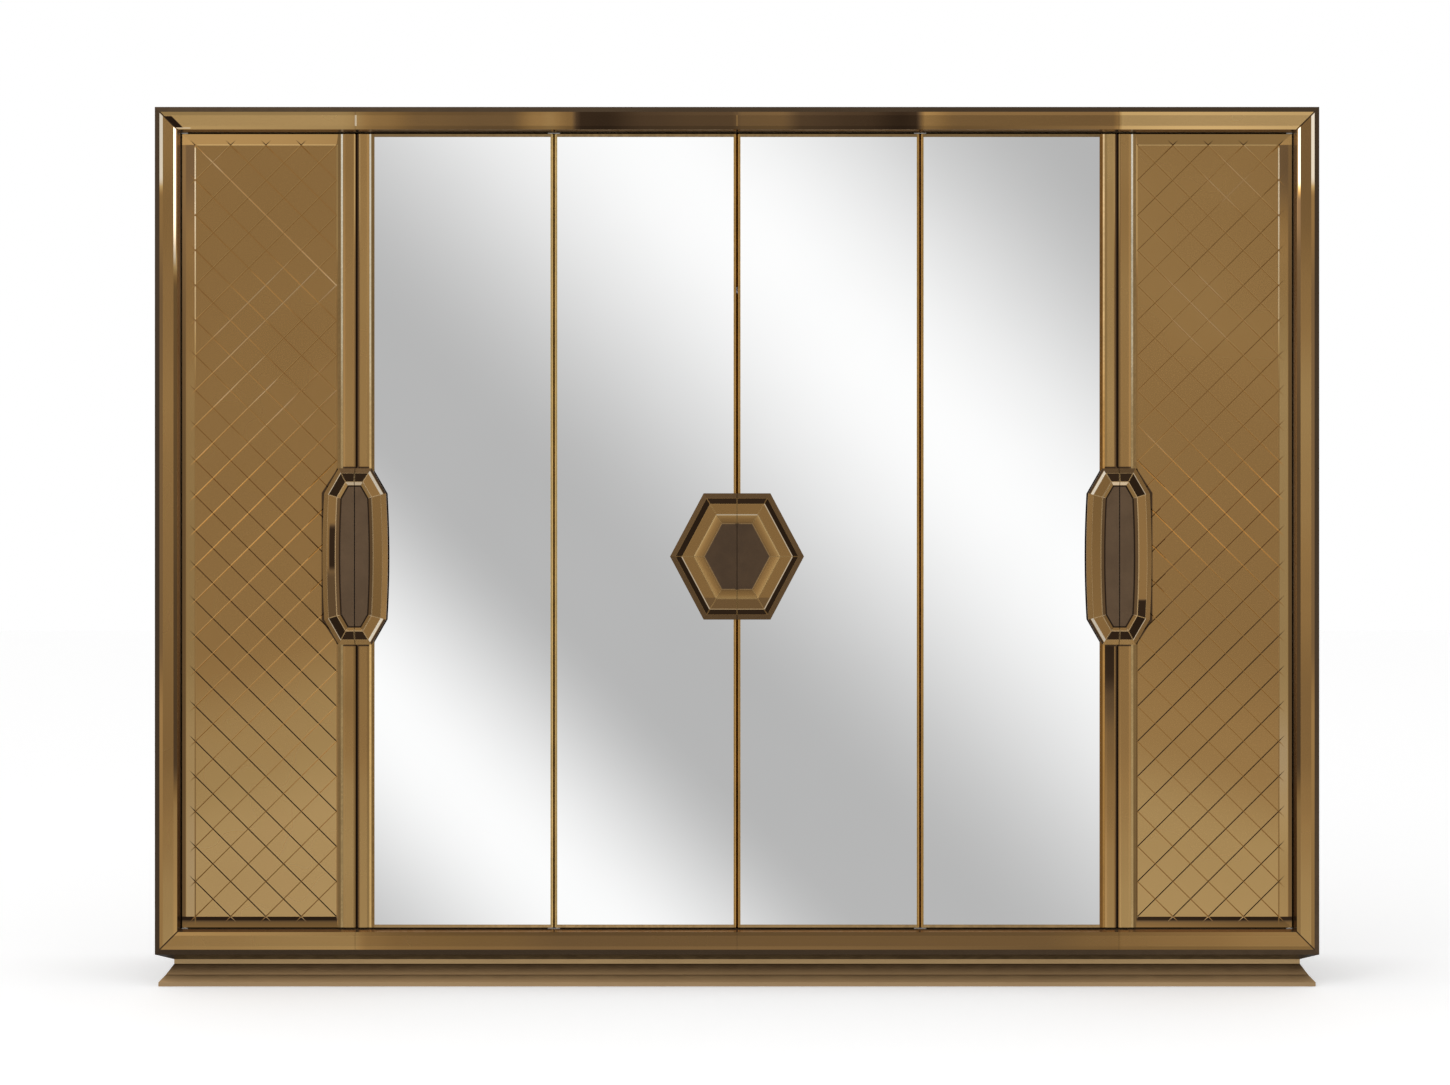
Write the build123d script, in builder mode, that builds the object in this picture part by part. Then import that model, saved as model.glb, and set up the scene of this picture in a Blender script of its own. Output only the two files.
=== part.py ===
"""Six-door armoire: bevelled bronze-glass frame, lattice-cut end doors, mirror doors, split faceted pulls.

Frame of reference: +Z up, doors face -Y, origin on the floor under the middle of the whole armoire.
All sizes in millimetres. The armoire is symmetrical about the plane x = 0: doors 1, 2 and 3 are
built on the left, and doors 6, 5 and 4 are their mirror images.
"""

import os
from math import atan2, degrees

from build123d import *

os.makedirs("parts", exist_ok=True)

# ---------------------------------------------------------------- driving dimensions

# Doors
lattice_door_width = 473.5  # doors 1 and 6
mirror_door_width = 537.0  # doors 2 and 5
centre_door_width = 497.0  # doors 3 and 4
door_height = 2166.0
core_thickness = 26.0
glass_thickness = 4.0
door_gap = 3.0  # between two neighbouring doors
reveal_gap = 3.0  # between a door and the frame around it
door_back_clearance = 2.0  # between a closed door and the carcass behind it

# Door facing strips
strip_width = 34.0  # bronze-glass strip beside the meeting edge
strip_bevel = 6.0
strip_edge = 2.0  # glass left at a bevelled edge of a strip
bead_width = 14.0  # brass bead between strip and panel
bead_edge = 2.0
trim_width = 7.0  # brass trim round the silver mirrors
trim_leg = 2.0  # leg of the trim that wraps the door's edge
trim_round = 6.0
mirror_arris = 1.0

# Lattice-cut glass
lattice_bevel_hinge = 36.0  # bevel along the hinge side
lattice_bevel_level = 30.0  # top and bottom
lattice_bevel_inner = 4.0  # beside the bead
lattice_edge = 1.5  # glass left at the bevelled edge
lattice_across = 4
lattice_high = 22
groove_width = 3.0
groove_depth = 1.2

# Pivots
pivot_inset = 7.0  # axis from the hinge edge
pivot_setback = 8.0  # axis behind the door's front face
pin_diameter = 4.0
pin_engagement = 9.0
pin_clearance = 0.05  # radial
bush_width = 7.0  # square block, let into the door's edge
bush_length = 14.0
plate_length = 16.0
plate_width = 12.0
plate_thickness = 1.5
bush_rest_clearance = 0.1

# Picture frame round the doors
frame_face = 70.0
door_setback = 20.0  # door face behind the frame's front
outer_chamfer_width = 15.0
outer_chamfer_depth = 13.0
inner_chamfer_width = 7.0
inner_chamfer_depth = 24.0
frame_glass_bevel = 9.5
frame_glass_edge = 1.5
glass_joint = 0.8  # open joint between two strips of glass

# Carcass
carcass_depth = 578.0
panel_thickness = 25.0
side_reveal = 3.0  # carcass set in from the frame's outer faces
floor_drop = 3.0  # carcass floor below the frame's opening
back_thickness = 8.0
back_inset = 8.0  # back panels in from the rear edges of the sides
back_joint = 1.0
shelf_thickness = 22.0
shelf_height = 2010.0  # underside of the upper shelves
shelf_setback = 20.0
shelf_clearance = 0.3
rail_middle = 1930.0  # height of the hanging rails' middle
rail_height = 30.0  # oval section
rail_thickness = 15.0
rail_clearance = 0.2
bracket_margin = 6.0  # end bracket past the rail's section
bracket_plate = 3.0
cradle_length = 12.0  # under the rail's end
cradle_wall = 3.0

# Plinth moulding: height of each edge and how far it lies inside the frame's outline
plinth_height = 88.0
neck_top = 69.0
neck_bottom = 56.5
flare_break = 29.5
flare_bottom = 11.0
neck_inset = 44.0
break_inset = 25.0
foot_inset = 8.0
plinth_wall = 34.0  # behind the neck

# Pulls
pull_height = 38.0  # front of the pull in front of the door
pull_centre_height = 1174.0
pull_split = 1.6  # slot between the two halves of a pull
foot_height = 16.0  # finger room behind the rim
foot_margin = 24.0  # rim overhang past the foot
rim_edge = 3.0
rim_slope_width = 13.5
rim_slope_rise = 9.0
pull_glass = 3.0
pull_glass_edge = 2.0
octagon_width = 178.0
octagon_height = 480.0
octagon_top = 90.0  # length of the short top and bottom sides
octagon_cut = 68.0  # height of the slanted corners
octagon_bow = 5.0  # bulge of the long sides
octagon_facet = 24.0
octagon_flat = 0.0
octagon_dish = 12.5
octagon_dish_drop = 6.0
hexagon_width = 365.0
hexagon_height = 344.0
hexagon_top = 182.0
hexagon_facet = 16.0
hexagon_flat = 27.5
hexagon_dish = 25.0
hexagon_dish_drop = 5.0

# ---------------------------------------------------------------- derived places

door_thickness = glass_thickness + core_thickness
frame_depth = door_setback + door_thickness + door_back_clearance
half_opening = (
    door_gap / 2 + centre_door_width + door_gap + mirror_door_width + door_gap + lattice_door_width + reveal_gap
)
half_width = half_opening + frame_face
opening_bottom = plinth_height + frame_face
opening_top = opening_bottom + door_height + 2 * reveal_gap
overall_height = opening_top + frame_face
overall_depth = frame_depth + carcass_depth + pull_height - door_setback

y_back = overall_depth / 2
y_front = y_back - carcass_depth - frame_depth  # front of the frame
y_door = y_front + door_setback
y_core = y_door + glass_thickness
y_carcass = y_front + frame_depth

door_bottom = opening_bottom + reveal_gap
door_top = door_bottom + door_height
door_middle = (door_bottom + door_top) / 2

door_1_x = -half_opening + reveal_gap  # left edge of each left-hand door
door_2_x = door_1_x + lattice_door_width + door_gap
door_3_x = door_2_x + mirror_door_width + door_gap
octagon_x = door_2_x - door_gap / 2  # meeting line of doors 1 and 2
partition_x = door_3_x - door_gap / 2  # meeting line of doors 2 and 3

pivot_y = y_door + pivot_setback
pivots = [
    door_1_x + pivot_inset,
    door_2_x + mirror_door_width - pivot_inset,
    door_3_x + pivot_inset,
]


# ---------------------------------------------------------------- helpers


def save(piece, name):
    """Label a finished piece and write its STEP file."""
    piece.part.label = name
    export_step(piece.part, f"parts/{name}.step")


def save_pair(left, left_name, right_name):
    """Write a left-hand piece and its mirror image about the armoire's middle plane."""
    save(left, left_name)
    with BuildPart() as right:
        mirror(left.part, about=Plane.YZ)
    save(right, right_name)


def board(x_low, x_high, y_low, y_high, z_low, z_high):
    """A rectangular board between two opposite corners, added to the open part."""
    with Locations(((x_low + x_high) / 2, (y_low + y_high) / 2, (z_low + z_high) / 2)):
        Box(x_high - x_low, y_high - y_low, z_high - z_low)


def upright(profile, x_edge, inward, z_low, z_high):
    """Extrude a plan profile, given as (distance from the edge, depth behind the face), up a door."""
    points = [(x_edge + inward * across, y_door + deep) for across, deep in profile]
    with BuildSketch(Plane.XY.offset(z_low)) as plan:
        with BuildLine():
            Polyline(*points, close=True)
        make_face()
    extrude(plan.sketch, amount=z_high - z_low)


# ---------------------------------------------------------------- picture frame

# Each member's plane has x pointing in towards the doors, -y pointing back and z along the member.
frame_middle = (plinth_height + overall_height) / 2
frame_members = {
    "frame_bottom": (Plane((0, y_front, plinth_height), x_dir=(0, 0, 1), z_dir=(1, 0, 0)), half_width),
    "frame_top": (Plane((0, y_front, overall_height), x_dir=(0, 0, -1), z_dir=(-1, 0, 0)), half_width),
    "frame_left": (
        Plane((-half_width, y_front, frame_middle), x_dir=(1, 0, 0), z_dir=(0, 0, -1)),
        (overall_height - plinth_height) / 2,
    ),
    "frame_right": (
        Plane((half_width, y_front, frame_middle), x_dir=(-1, 0, 0), z_dir=(0, 0, 1)),
        (overall_height - plinth_height) / 2,
    ),
}

frame_section = [
    (0, outer_chamfer_depth),
    (outer_chamfer_width, glass_thickness),
    (frame_face - inner_chamfer_width, glass_thickness),
    (frame_face, inner_chamfer_depth),
    (frame_face, frame_depth),
    (0, frame_depth),
]
frame_glass_section = [
    (outer_chamfer_width, glass_thickness),
    (outer_chamfer_width, glass_thickness - frame_glass_edge),
    (outer_chamfer_width + frame_glass_bevel, 0),
    (frame_face - inner_chamfer_width - frame_glass_bevel, 0),
    (frame_face - inner_chamfer_width, glass_thickness - frame_glass_edge),
    (frame_face - inner_chamfer_width, glass_thickness),
]


def mitred_member(plane, half_length, section, joint):
    """Extrude a section along a member and cut both ends at 45 degrees, half a joint short."""
    with BuildSketch(plane) as profile:
        with BuildLine():
            Polyline(*[(across, -deep) for across, deep in section], close=True)
        make_face()
    extrude(profile.sketch, amount=half_length, both=True)
    for end in (1, -1):
        corner = plane.from_local_coords((0, 0, end * (half_length - joint / 2)))
        split(bisect_by=Plane(corner, z_dir=plane.x_dir + plane.z_dir * end), keep=Keep.BOTTOM)


for name, (member_plane, half_length) in frame_members.items():
    with BuildPart() as member:
        mitred_member(member_plane, half_length, frame_section, 0)
    save(member, name)

# One glass strip on each stile, four on each rail with joints on the doors' meeting lines.
with BuildPart() as frame_glass:
    for name, (member_plane, half_length) in frame_members.items():
        with BuildPart(mode=Mode.PRIVATE) as strip:
            mitred_member(member_plane, half_length, frame_glass_section, glass_joint)
            if name in ("frame_bottom", "frame_top"):
                for joint_x in (octagon_x, 0, -octagon_x):
                    with Locations((joint_x, y_front, member_plane.origin.Z)):
                        Box(glass_joint, 4 * glass_thickness, 4 * frame_face, mode=Mode.SUBTRACT)
        add(strip.part)
save(frame_glass, "frame_glass")

# ---------------------------------------------------------------- plinth

plinth_edges = [
    (0, foot_inset),
    (flare_bottom, foot_inset),
    (flare_break, break_inset),
    (neck_bottom, neck_inset),
    (neck_top, neck_inset),
    (plinth_height, 0),
]
y_plinth_front = y_front + outer_chamfer_depth  # the moulding hangs from the foot of the frame's chamfer
y_plinth_back = y_back - back_inset

with BuildPart() as plinth:
    for (z_low, inset_low), (z_high, inset_high) in zip(plinth_edges, plinth_edges[1:]):
        for z_edge, inset in ((z_low, inset_low), (z_high, inset_high)):
            y_edge = y_plinth_front + inset
            with BuildSketch(Plane.XY.offset(z_edge)):
                with Locations((0, (y_edge + y_plinth_back) / 2)):
                    Rectangle(2 * (half_width - inset), y_plinth_back - y_edge)
        loft(ruled=True)
    hollow_x = half_width - neck_inset - plinth_wall
    hollow_front = y_plinth_front + neck_inset + plinth_wall
    hollow_back = y_plinth_back - plinth_wall
    with Locations((0, (hollow_front + hollow_back) / 2, plinth_height / 2)):
        Box(2 * hollow_x, hollow_back - hollow_front, 2 * plinth_height, mode=Mode.SUBTRACT)
save(plinth, "plinth")

# ---------------------------------------------------------------- carcass boards

side_outer = half_width - side_reveal
side_inner = side_outer - panel_thickness
carcass_top_z = overall_height - side_reveal
ceiling = carcass_top_z - panel_thickness
floor_top = opening_bottom - floor_drop
y_back_panel = y_back - back_inset - back_thickness  # front face of the back panels

with BuildPart() as side:
    board(-side_outer, -side_inner, y_carcass, y_back, plinth_height, carcass_top_z)
save_pair(side, "side_left", "side_right")

with BuildPart() as partition:
    board(
        partition_x - panel_thickness / 2,
        partition_x + panel_thickness / 2,
        y_carcass,
        y_back_panel,
        floor_top,
        ceiling,
    )
save_pair(partition, "partition_left", "partition_right")

with BuildPart() as carcass_top:
    board(-side_inner, side_inner, y_carcass, y_back_panel, ceiling, carcass_top_z)
save(carcass_top, "carcass_top")

with BuildPart() as carcass_floor:
    board(-side_inner, side_inner, y_carcass, y_back_panel, floor_top - panel_thickness, floor_top)
save(carcass_floor, "carcass_floor")

# Three sheets that meet behind the partitions and close against the boards' rear edges.
sheet_edges = [-side_inner, partition_x, -partition_x, side_inner]
with BuildPart() as back_panels:
    for x_low, x_high in zip(sheet_edges, sheet_edges[1:]):
        low = x_low if x_low == -side_inner else x_low + back_joint / 2
        high = x_high if x_high == side_inner else x_high - back_joint / 2
        board(low, high, y_back_panel, y_back_panel + back_thickness, floor_top - panel_thickness, carcass_top_z)
save(back_panels, "back_panels")

# ---------------------------------------------------------------- shelves and hanging rails

# Clear width of each compartment, left to right
bays = [
    (-side_inner, partition_x - panel_thickness / 2),
    (partition_x + panel_thickness / 2, -partition_x - panel_thickness / 2),
    (-partition_x + panel_thickness / 2, side_inner),
]

with BuildPart() as upper_shelves:
    for x_low, x_high in bays:
        board(
            x_low + shelf_clearance,
            x_high - shelf_clearance,
            y_carcass + shelf_setback,
            y_back_panel - shelf_clearance,
            shelf_height,
            shelf_height + shelf_thickness,
        )
save(upper_shelves, "upper_shelves")

# Each rail has an oval section and rests at either end in a cradle on a bracket plate.
rail_y = (y_carcass + y_back_panel) / 2
with BuildPart() as hanging_rails:
    for x_low, x_high in bays:
        for wall_x, inward in ((x_low, 1), (x_high, -1)):
            plate_plane = Plane((wall_x, rail_y, rail_middle), x_dir=(0, inward, 0), z_dir=(inward, 0, 0))
            with BuildSketch(plate_plane):
                Rectangle(rail_thickness + 2 * bracket_margin, rail_height + 2 * bracket_margin)
            extrude(amount=bracket_plate)
            with BuildSketch(plate_plane.offset(bracket_plate)):
                with Locations((0, -rail_height / 2 - cradle_wall)):
                    Rectangle(
                        rail_thickness + 2 * cradle_wall,
                        rail_height / 2 + cradle_wall,
                        align=(Align.CENTER, Align.MIN),
                    )
                SlotOverall(
                    rail_height + 2 * rail_clearance,
                    rail_thickness + 2 * rail_clearance,
                    rotation=90,
                    mode=Mode.SUBTRACT,
                )
            extrude(amount=cradle_length)
        rail_start = Plane(
            (x_low + bracket_plate + rail_clearance, rail_y, rail_middle), x_dir=(0, 1, 0), z_dir=(1, 0, 0)
        )
        with BuildSketch(rail_start):
            SlotOverall(rail_height, rail_thickness, rotation=90)
        extrude(amount=x_high - x_low - 2 * (bracket_plate + rail_clearance))
save(hanging_rails, "hanging_rails")

# ---------------------------------------------------------------- pivots

# Plates screwed to the frame's rails, each with a pin that stands up (or hangs down) into a door.
pin_length = reveal_gap - plate_thickness + pin_engagement
with BuildPart() as pivot_pins:
    for pivot_x in pivots + [-x for x in pivots]:
        for z_face, into_door in ((opening_bottom, 1), (opening_top, -1)):
            with Locations((pivot_x, pivot_y, z_face + into_door * plate_thickness / 2)):
                Box(plate_length, plate_width, plate_thickness)
            with Locations((pivot_x, pivot_y, z_face + into_door * (plate_thickness + pin_length / 2))):
                Cylinder(pin_diameter / 2, pin_length)
save(pivot_pins, "pivot_pins")

# A bush stands out of the door's edge so that its end turns on the plate.
bush_stand_off = reveal_gap - plate_thickness - bush_rest_clearance


def bush_pair(pivot_x):
    """The two bored bushes let into the bottom and top edges of a door, on the pivot's axis."""
    for z_edge, into_door in ((door_bottom, 1), (door_top, -1)):
        with Locations((pivot_x, pivot_y, z_edge + into_door * (bush_length / 2 - bush_stand_off))):
            Box(bush_width, bush_width, bush_length)
            Cylinder(pin_diameter / 2 + pin_clearance, bush_length, mode=Mode.SUBTRACT)


def bush_seats(pivot_x):
    """The pockets in a door core that hold its two bushes."""
    seat_depth = bush_length - bush_stand_off
    with Locations(
        (pivot_x, pivot_y, door_bottom + seat_depth / 2),
        (pivot_x, pivot_y, door_top - seat_depth / 2),
    ):
        Box(bush_width, bush_width, seat_depth, mode=Mode.SUBTRACT)


for number, pivot_x in zip((1, 2, 3), pivots):
    with BuildPart() as bushes:
        bush_pair(pivot_x)
    save_pair(bushes, f"door_{number}_pivot_bushes", f"door_{7 - number}_pivot_bushes")

# ---------------------------------------------------------------- door facings

strip_section = [
    (0, glass_thickness),
    (0, glass_thickness - strip_edge),
    (strip_bevel, 0),
    (strip_width - strip_bevel, 0),
    (strip_width, glass_thickness - strip_edge),
    (strip_width, glass_thickness),
]
bead_section = [
    (strip_width, glass_thickness),
    (strip_width, glass_thickness - bead_edge),
    (strip_width + bead_width / 2, 0),
    (strip_width + bead_width, glass_thickness - bead_edge),
    (strip_width + bead_width, glass_thickness),
]


def trim_stile(x_edge, inward):
    """L-shaped brass trim with a rounded nose, from the door's face round to its back."""
    with BuildSketch(Plane.XY.offset(door_bottom)) as plan:
        with BuildLine():
            nose_start = (x_edge, y_door + trim_round)
            nose_end = (x_edge + inward * trim_round, y_door)
            RadiusArc(nose_start, nose_end, -inward * trim_round)
            Polyline(
                nose_end,
                (x_edge + inward * trim_width, y_door),
                (x_edge + inward * trim_width, y_core),
                (x_edge + inward * trim_leg, y_core),
                (x_edge + inward * trim_leg, y_door + door_thickness),
                (x_edge, y_door + door_thickness),
                nose_start,
            )
        make_face()
    extrude(plan.sketch, amount=door_height)


def trim_rails(x_low, x_high):
    """Flat brass trim along the bottom and top of a mirror."""
    board(x_low, x_high, y_door, y_core, door_bottom, door_bottom + trim_width)
    board(x_low, x_high, y_door, y_core, door_top - trim_width, door_top)


def silver_mirror(x_low, x_high):
    """Silvered glass between the trim rails, with a polished arris round its face."""
    board(x_low, x_high, y_door, y_core, door_bottom + trim_width, door_top - trim_width)


# ---------------------------------------------------------------- door 1 (and 6): lattice-cut bronze glass

door_1_end = door_1_x + lattice_door_width

with BuildPart() as door_1_core:
    board(door_1_x, door_1_end, y_core, y_core + core_thickness, door_bottom, door_top)
    bush_seats(pivots[0])
save_pair(door_1_core, "door_1_core", "door_6_core")

with BuildPart() as door_1_bead:
    upright(bead_section, door_1_end, -1, door_bottom, door_top)
save_pair(door_1_bead, "door_1_bead", "door_6_bead")

panel_width = lattice_door_width - strip_width - bead_width
flat_width = panel_width - lattice_bevel_hinge - lattice_bevel_inner
flat_height = door_height - 2 * lattice_bevel_level
diamond_width = flat_width / lattice_across
diamond_height = flat_height / lattice_high
flat_left = door_1_x + lattice_bevel_hinge
flat_bottom = door_bottom + lattice_bevel_level


def groove_cutter(x_start, z_start, rise):
    """A V-shaped cutter along one diagonal of the lattice; rise is +1 or -1 diamond per diamond."""
    along = Vector(diamond_width, 0, rise * diamond_height).normalized()
    start = Vector(x_start, y_door, z_start)
    section_plane = Plane(start, x_dir=along.cross(Vector(0, 1, 0)), z_dir=along)
    clear = groove_depth  # the cutter stands this far out of the face
    spread = groove_width / 2 * (1 + clear / groove_depth)
    out = section_plane.to_local_coords(start + Vector(0, -1, 0)).Y
    with BuildPart(mode=Mode.PRIVATE) as cutter:
        with BuildSketch(section_plane):
            with BuildLine():
                Polyline((0, -out * groove_depth), (spread, out * clear), (-spread, out * clear), close=True)
            make_face()
        extrude(amount=groove_run)
    return cutter.part


# Every groove runs right across the flat and out over the bevels on both sides.
run_out = 1  # diamonds beyond the flat at either end
groove_run = (lattice_across + 2 * run_out) * Vector(diamond_width, 0, diamond_height).length
grooves = []
for step in range(-lattice_across + 1, lattice_high):
    z_foot = flat_bottom + step * diamond_height
    x_begin = flat_left - run_out * diamond_width
    grooves.append(groove_cutter(x_begin, z_foot - run_out * diamond_height, 1))
    z_head = flat_bottom + (step + lattice_across) * diamond_height
    grooves.append(groove_cutter(x_begin, z_head + run_out * diamond_height, -1))

# A bevel is what a tilted plane cuts off one side of the panel.
panel_sides = [
    ((door_1_x, door_bottom), Vector(1, 0, 0), lattice_bevel_hinge),
    ((door_1_x, door_bottom), Vector(0, 0, 1), lattice_bevel_level),
    ((door_1_x, door_top), Vector(0, 0, -1), lattice_bevel_level),
    ((door_1_x + panel_width, door_bottom), Vector(-1, 0, 0), lattice_bevel_inner),
]
bevel_drop = glass_thickness - lattice_edge
with BuildPart() as door_1_glass:
    board(door_1_x, door_1_x + panel_width, y_door, y_core, door_bottom, door_top)
    for (x_side, z_side), inward, bevel_width in panel_sides:
        bevel_normal = -inward * bevel_drop - Vector(0, bevel_width, 0)
        split(bisect_by=Plane((x_side, y_door + bevel_drop, z_side), z_dir=bevel_normal), keep=Keep.BOTTOM)
    add(grooves, mode=Mode.SUBTRACT)
    upright(strip_section, door_1_end, -1, door_bottom, door_top)
save_pair(door_1_glass, "door_1_lattice_glass", "door_6_lattice_glass")

# ---------------------------------------------------------------- door 2 (and 5): strip, bead and silver mirror

door_2_end = door_2_x + mirror_door_width
mirror_2_x = door_2_x + strip_width + bead_width

with BuildPart() as door_2_core:
    board(door_2_x, door_2_end - trim_leg, y_core, y_core + core_thickness, door_bottom, door_top)
    bush_seats(pivots[1])
save_pair(door_2_core, "door_2_core", "door_5_core")

with BuildPart() as door_2_strip:
    upright(strip_section, door_2_x, 1, door_bottom, door_top)
save_pair(door_2_strip, "door_2_strip_glass", "door_5_strip_glass")

with BuildPart() as door_2_trim:
    upright(bead_section, door_2_x, 1, door_bottom, door_top)
    trim_stile(door_2_end, -1)
    trim_rails(mirror_2_x, door_2_end - trim_width)
save_pair(door_2_trim, "door_2_trim", "door_5_trim")

with BuildPart() as door_2_mirror:
    silver_mirror(mirror_2_x, door_2_end - trim_width)
    chamfer(door_2_mirror.faces().sort_by(Axis.Y)[0].edges(), mirror_arris)
save_pair(door_2_mirror, "door_2_mirror", "door_5_mirror")

# ---------------------------------------------------------------- door 3 (and 4): silver mirror

door_3_end = door_3_x + centre_door_width

with BuildPart() as door_3_core:
    board(door_3_x + trim_leg, door_3_end - trim_leg, y_core, y_core + core_thickness, door_bottom, door_top)
    bush_seats(pivots[2])
save_pair(door_3_core, "door_3_core", "door_4_core")

with BuildPart() as door_3_trim:
    trim_stile(door_3_x, 1)
    trim_stile(door_3_end, -1)
    trim_rails(door_3_x + trim_width, door_3_end - trim_width)
save_pair(door_3_trim, "door_3_trim", "door_4_trim")

with BuildPart() as door_3_mirror:
    silver_mirror(door_3_x + trim_width, door_3_end - trim_width)
    chamfer(door_3_mirror.faces().sort_by(Axis.Y)[0].edges(), mirror_arris)
save_pair(door_3_mirror, "door_3_mirror", "door_4_mirror")

# ---------------------------------------------------------------- pulls


def octagon_outline():
    """Tall octagon with slanted corners and gently bowed long sides."""
    half_top = octagon_top / 2
    shoulder_x = octagon_width / 2 - octagon_bow
    shoulder_z = octagon_height / 2 - octagon_cut
    with BuildLine() as outline:
        ThreePointArc((shoulder_x, -shoulder_z), (octagon_width / 2, 0), (shoulder_x, shoulder_z))
        Polyline(
            (shoulder_x, shoulder_z),
            (half_top, octagon_height / 2),
            (-half_top, octagon_height / 2),
            (-shoulder_x, shoulder_z),
        )
        ThreePointArc((-shoulder_x, shoulder_z), (-octagon_width / 2, 0), (-shoulder_x, -shoulder_z))
        Polyline(
            (-shoulder_x, -shoulder_z),
            (-half_top, -octagon_height / 2),
            (half_top, -octagon_height / 2),
            (shoulder_x, -shoulder_z),
        )
    make_face(outline.edges())


def hexagon_outline():
    """Hexagon with flat top and bottom and a point at either side."""
    with BuildLine() as outline:
        Polyline(
            (hexagon_width / 2, 0),
            (hexagon_top / 2, hexagon_height / 2),
            (-hexagon_top / 2, hexagon_height / 2),
            (-hexagon_width / 2, 0),
            (-hexagon_top / 2, -hexagon_height / 2),
            (hexagon_top / 2, -hexagon_height / 2),
            close=True,
        )
    make_face(outline.edges())


class Pull:
    """A faceted pull, given by its outline and by the widths of its rings from the rim inwards.

    It is built lying on its back about its own centre, and its plane places it on the doors.
    """

    def __init__(self, x_centre, outline, facet, flat, dish, dish_drop):
        self.plane = Plane((x_centre, y_door, pull_centre_height), x_dir=(1, 0, 0), z_dir=(0, -1, 0))
        self.outline = outline
        self.rim_inset = rim_slope_width
        self.rim_height = foot_height + rim_edge + rim_slope_rise
        self.crest_inset = rim_slope_width + facet
        self.lip_inset = self.crest_inset + flat
        self.dish_inset = self.lip_inset + dish
        self.plaque_height = pull_height - dish_drop

    def sketch(self, inset, height):
        """The outline, shrunk by an inset, at a height in front of the door."""
        with BuildSketch(Plane.XY.offset(height)) as ring:
            self.outline()
            if inset:
                offset(amount=-inset, kind=Kind.INTERSECTION, mode=Mode.REPLACE)
        return ring

    def prism(self, inset, low, high, mode=Mode.ADD):
        """Straight-sided slice of the pull between two heights."""
        extrude(self.sketch(inset, low).sketch, amount=high - low, mode=mode)

    def slope(self, inset_low, low, inset_high, high, mode=Mode.ADD):
        """Slice of the pull whose sides slope from one inset to another."""
        taper = degrees(atan2(abs(inset_high - inset_low), high - low))
        with BuildPart(mode=Mode.PRIVATE) as tapered:
            extrude(self.sketch(min(inset_low, inset_high), 0).sketch, amount=high - low, taper=taper)
            if inset_high < inset_low:
                mirror(about=Plane.XY, mode=Mode.REPLACE)
        with Locations((0, 0, low if inset_high > inset_low else high)):
            add(tapered.part, mode=mode)

    def corners(self, inset):
        """Corner points of the outline at an inset, in order round it."""
        points = [corner.center() for corner in self.sketch(inset, 0).vertices()]
        return sorted(points, key=lambda point: atan2(point.Y, point.X))


def pull_body(pull):
    """Foot, overhanging rim and the bed that the glass and the plaque lie in."""
    bed = pull_height - pull_glass
    pull.prism(foot_margin, 0, foot_height)
    pull.prism(0, foot_height, foot_height + rim_edge)
    pull.slope(0, foot_height + rim_edge, pull.rim_inset, pull.rim_height)
    pull.slope(pull.rim_inset, pull.rim_height, pull.crest_inset, bed)
    pull.slope(
        pull.dish_inset, pull.plaque_height - pull_glass, pull.lip_inset, bed, mode=Mode.SUBTRACT
    )


def facet_glass(pull):
    """Bevelled glass from the rim up to the crest and flat across it to the lip of the dish."""
    edge_top = pull.rim_height + pull_glass_edge
    bed = pull_height - pull_glass
    pull.prism(pull.rim_inset, pull.rim_height, edge_top)
    pull.slope(pull.rim_inset, edge_top, pull.crest_inset, pull_height)
    pull.slope(pull.rim_inset, pull.rim_height, pull.crest_inset, bed, mode=Mode.SUBTRACT)
    pull.prism(pull.lip_inset - glass_joint / 2, bed, pull_height, mode=Mode.SUBTRACT)


def dish_glass(pull):
    """The sloping glass that lines the dish, down to the plaque."""
    bed = pull_height - pull_glass
    pull.slope(pull.dish_inset, pull.plaque_height - pull_glass, pull.lip_inset, bed)
    pull.prism(pull.lip_inset, bed, pull_height)
    pull.slope(pull.dish_inset, pull.plaque_height, pull.lip_inset, pull_height, mode=Mode.SUBTRACT)
    pull.prism(pull.dish_inset, pull.plaque_height - pull_glass, pull_height, mode=Mode.SUBTRACT)
    pull.prism(
        pull.lip_inset + glass_joint / 2, pull.plaque_height - pull_glass, pull_height, mode=Mode.INTERSECT
    )


def mitre_joints(pull):
    """Thin open joints along the mitres, where the panes of glass meet at the corners."""
    for outer, inner in zip(pull.corners(0), pull.corners(pull.dish_inset)):
        along = inner - outer
        with BuildSketch(Plane(outer, x_dir=along, z_dir=(0, 0, 1))) as slot:
            with Locations((along.length / 2, 0)):
                Rectangle(along.length + glass_joint, glass_joint)
        extrude(slot.sketch, amount=2 * pull_height, mode=Mode.SUBTRACT)


octagon = Pull(octagon_x, octagon_outline, octagon_facet, octagon_flat, octagon_dish, octagon_dish_drop)
hexagon = Pull(0, hexagon_outline, hexagon_facet, hexagon_flat, hexagon_dish, hexagon_dish_drop)

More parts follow.
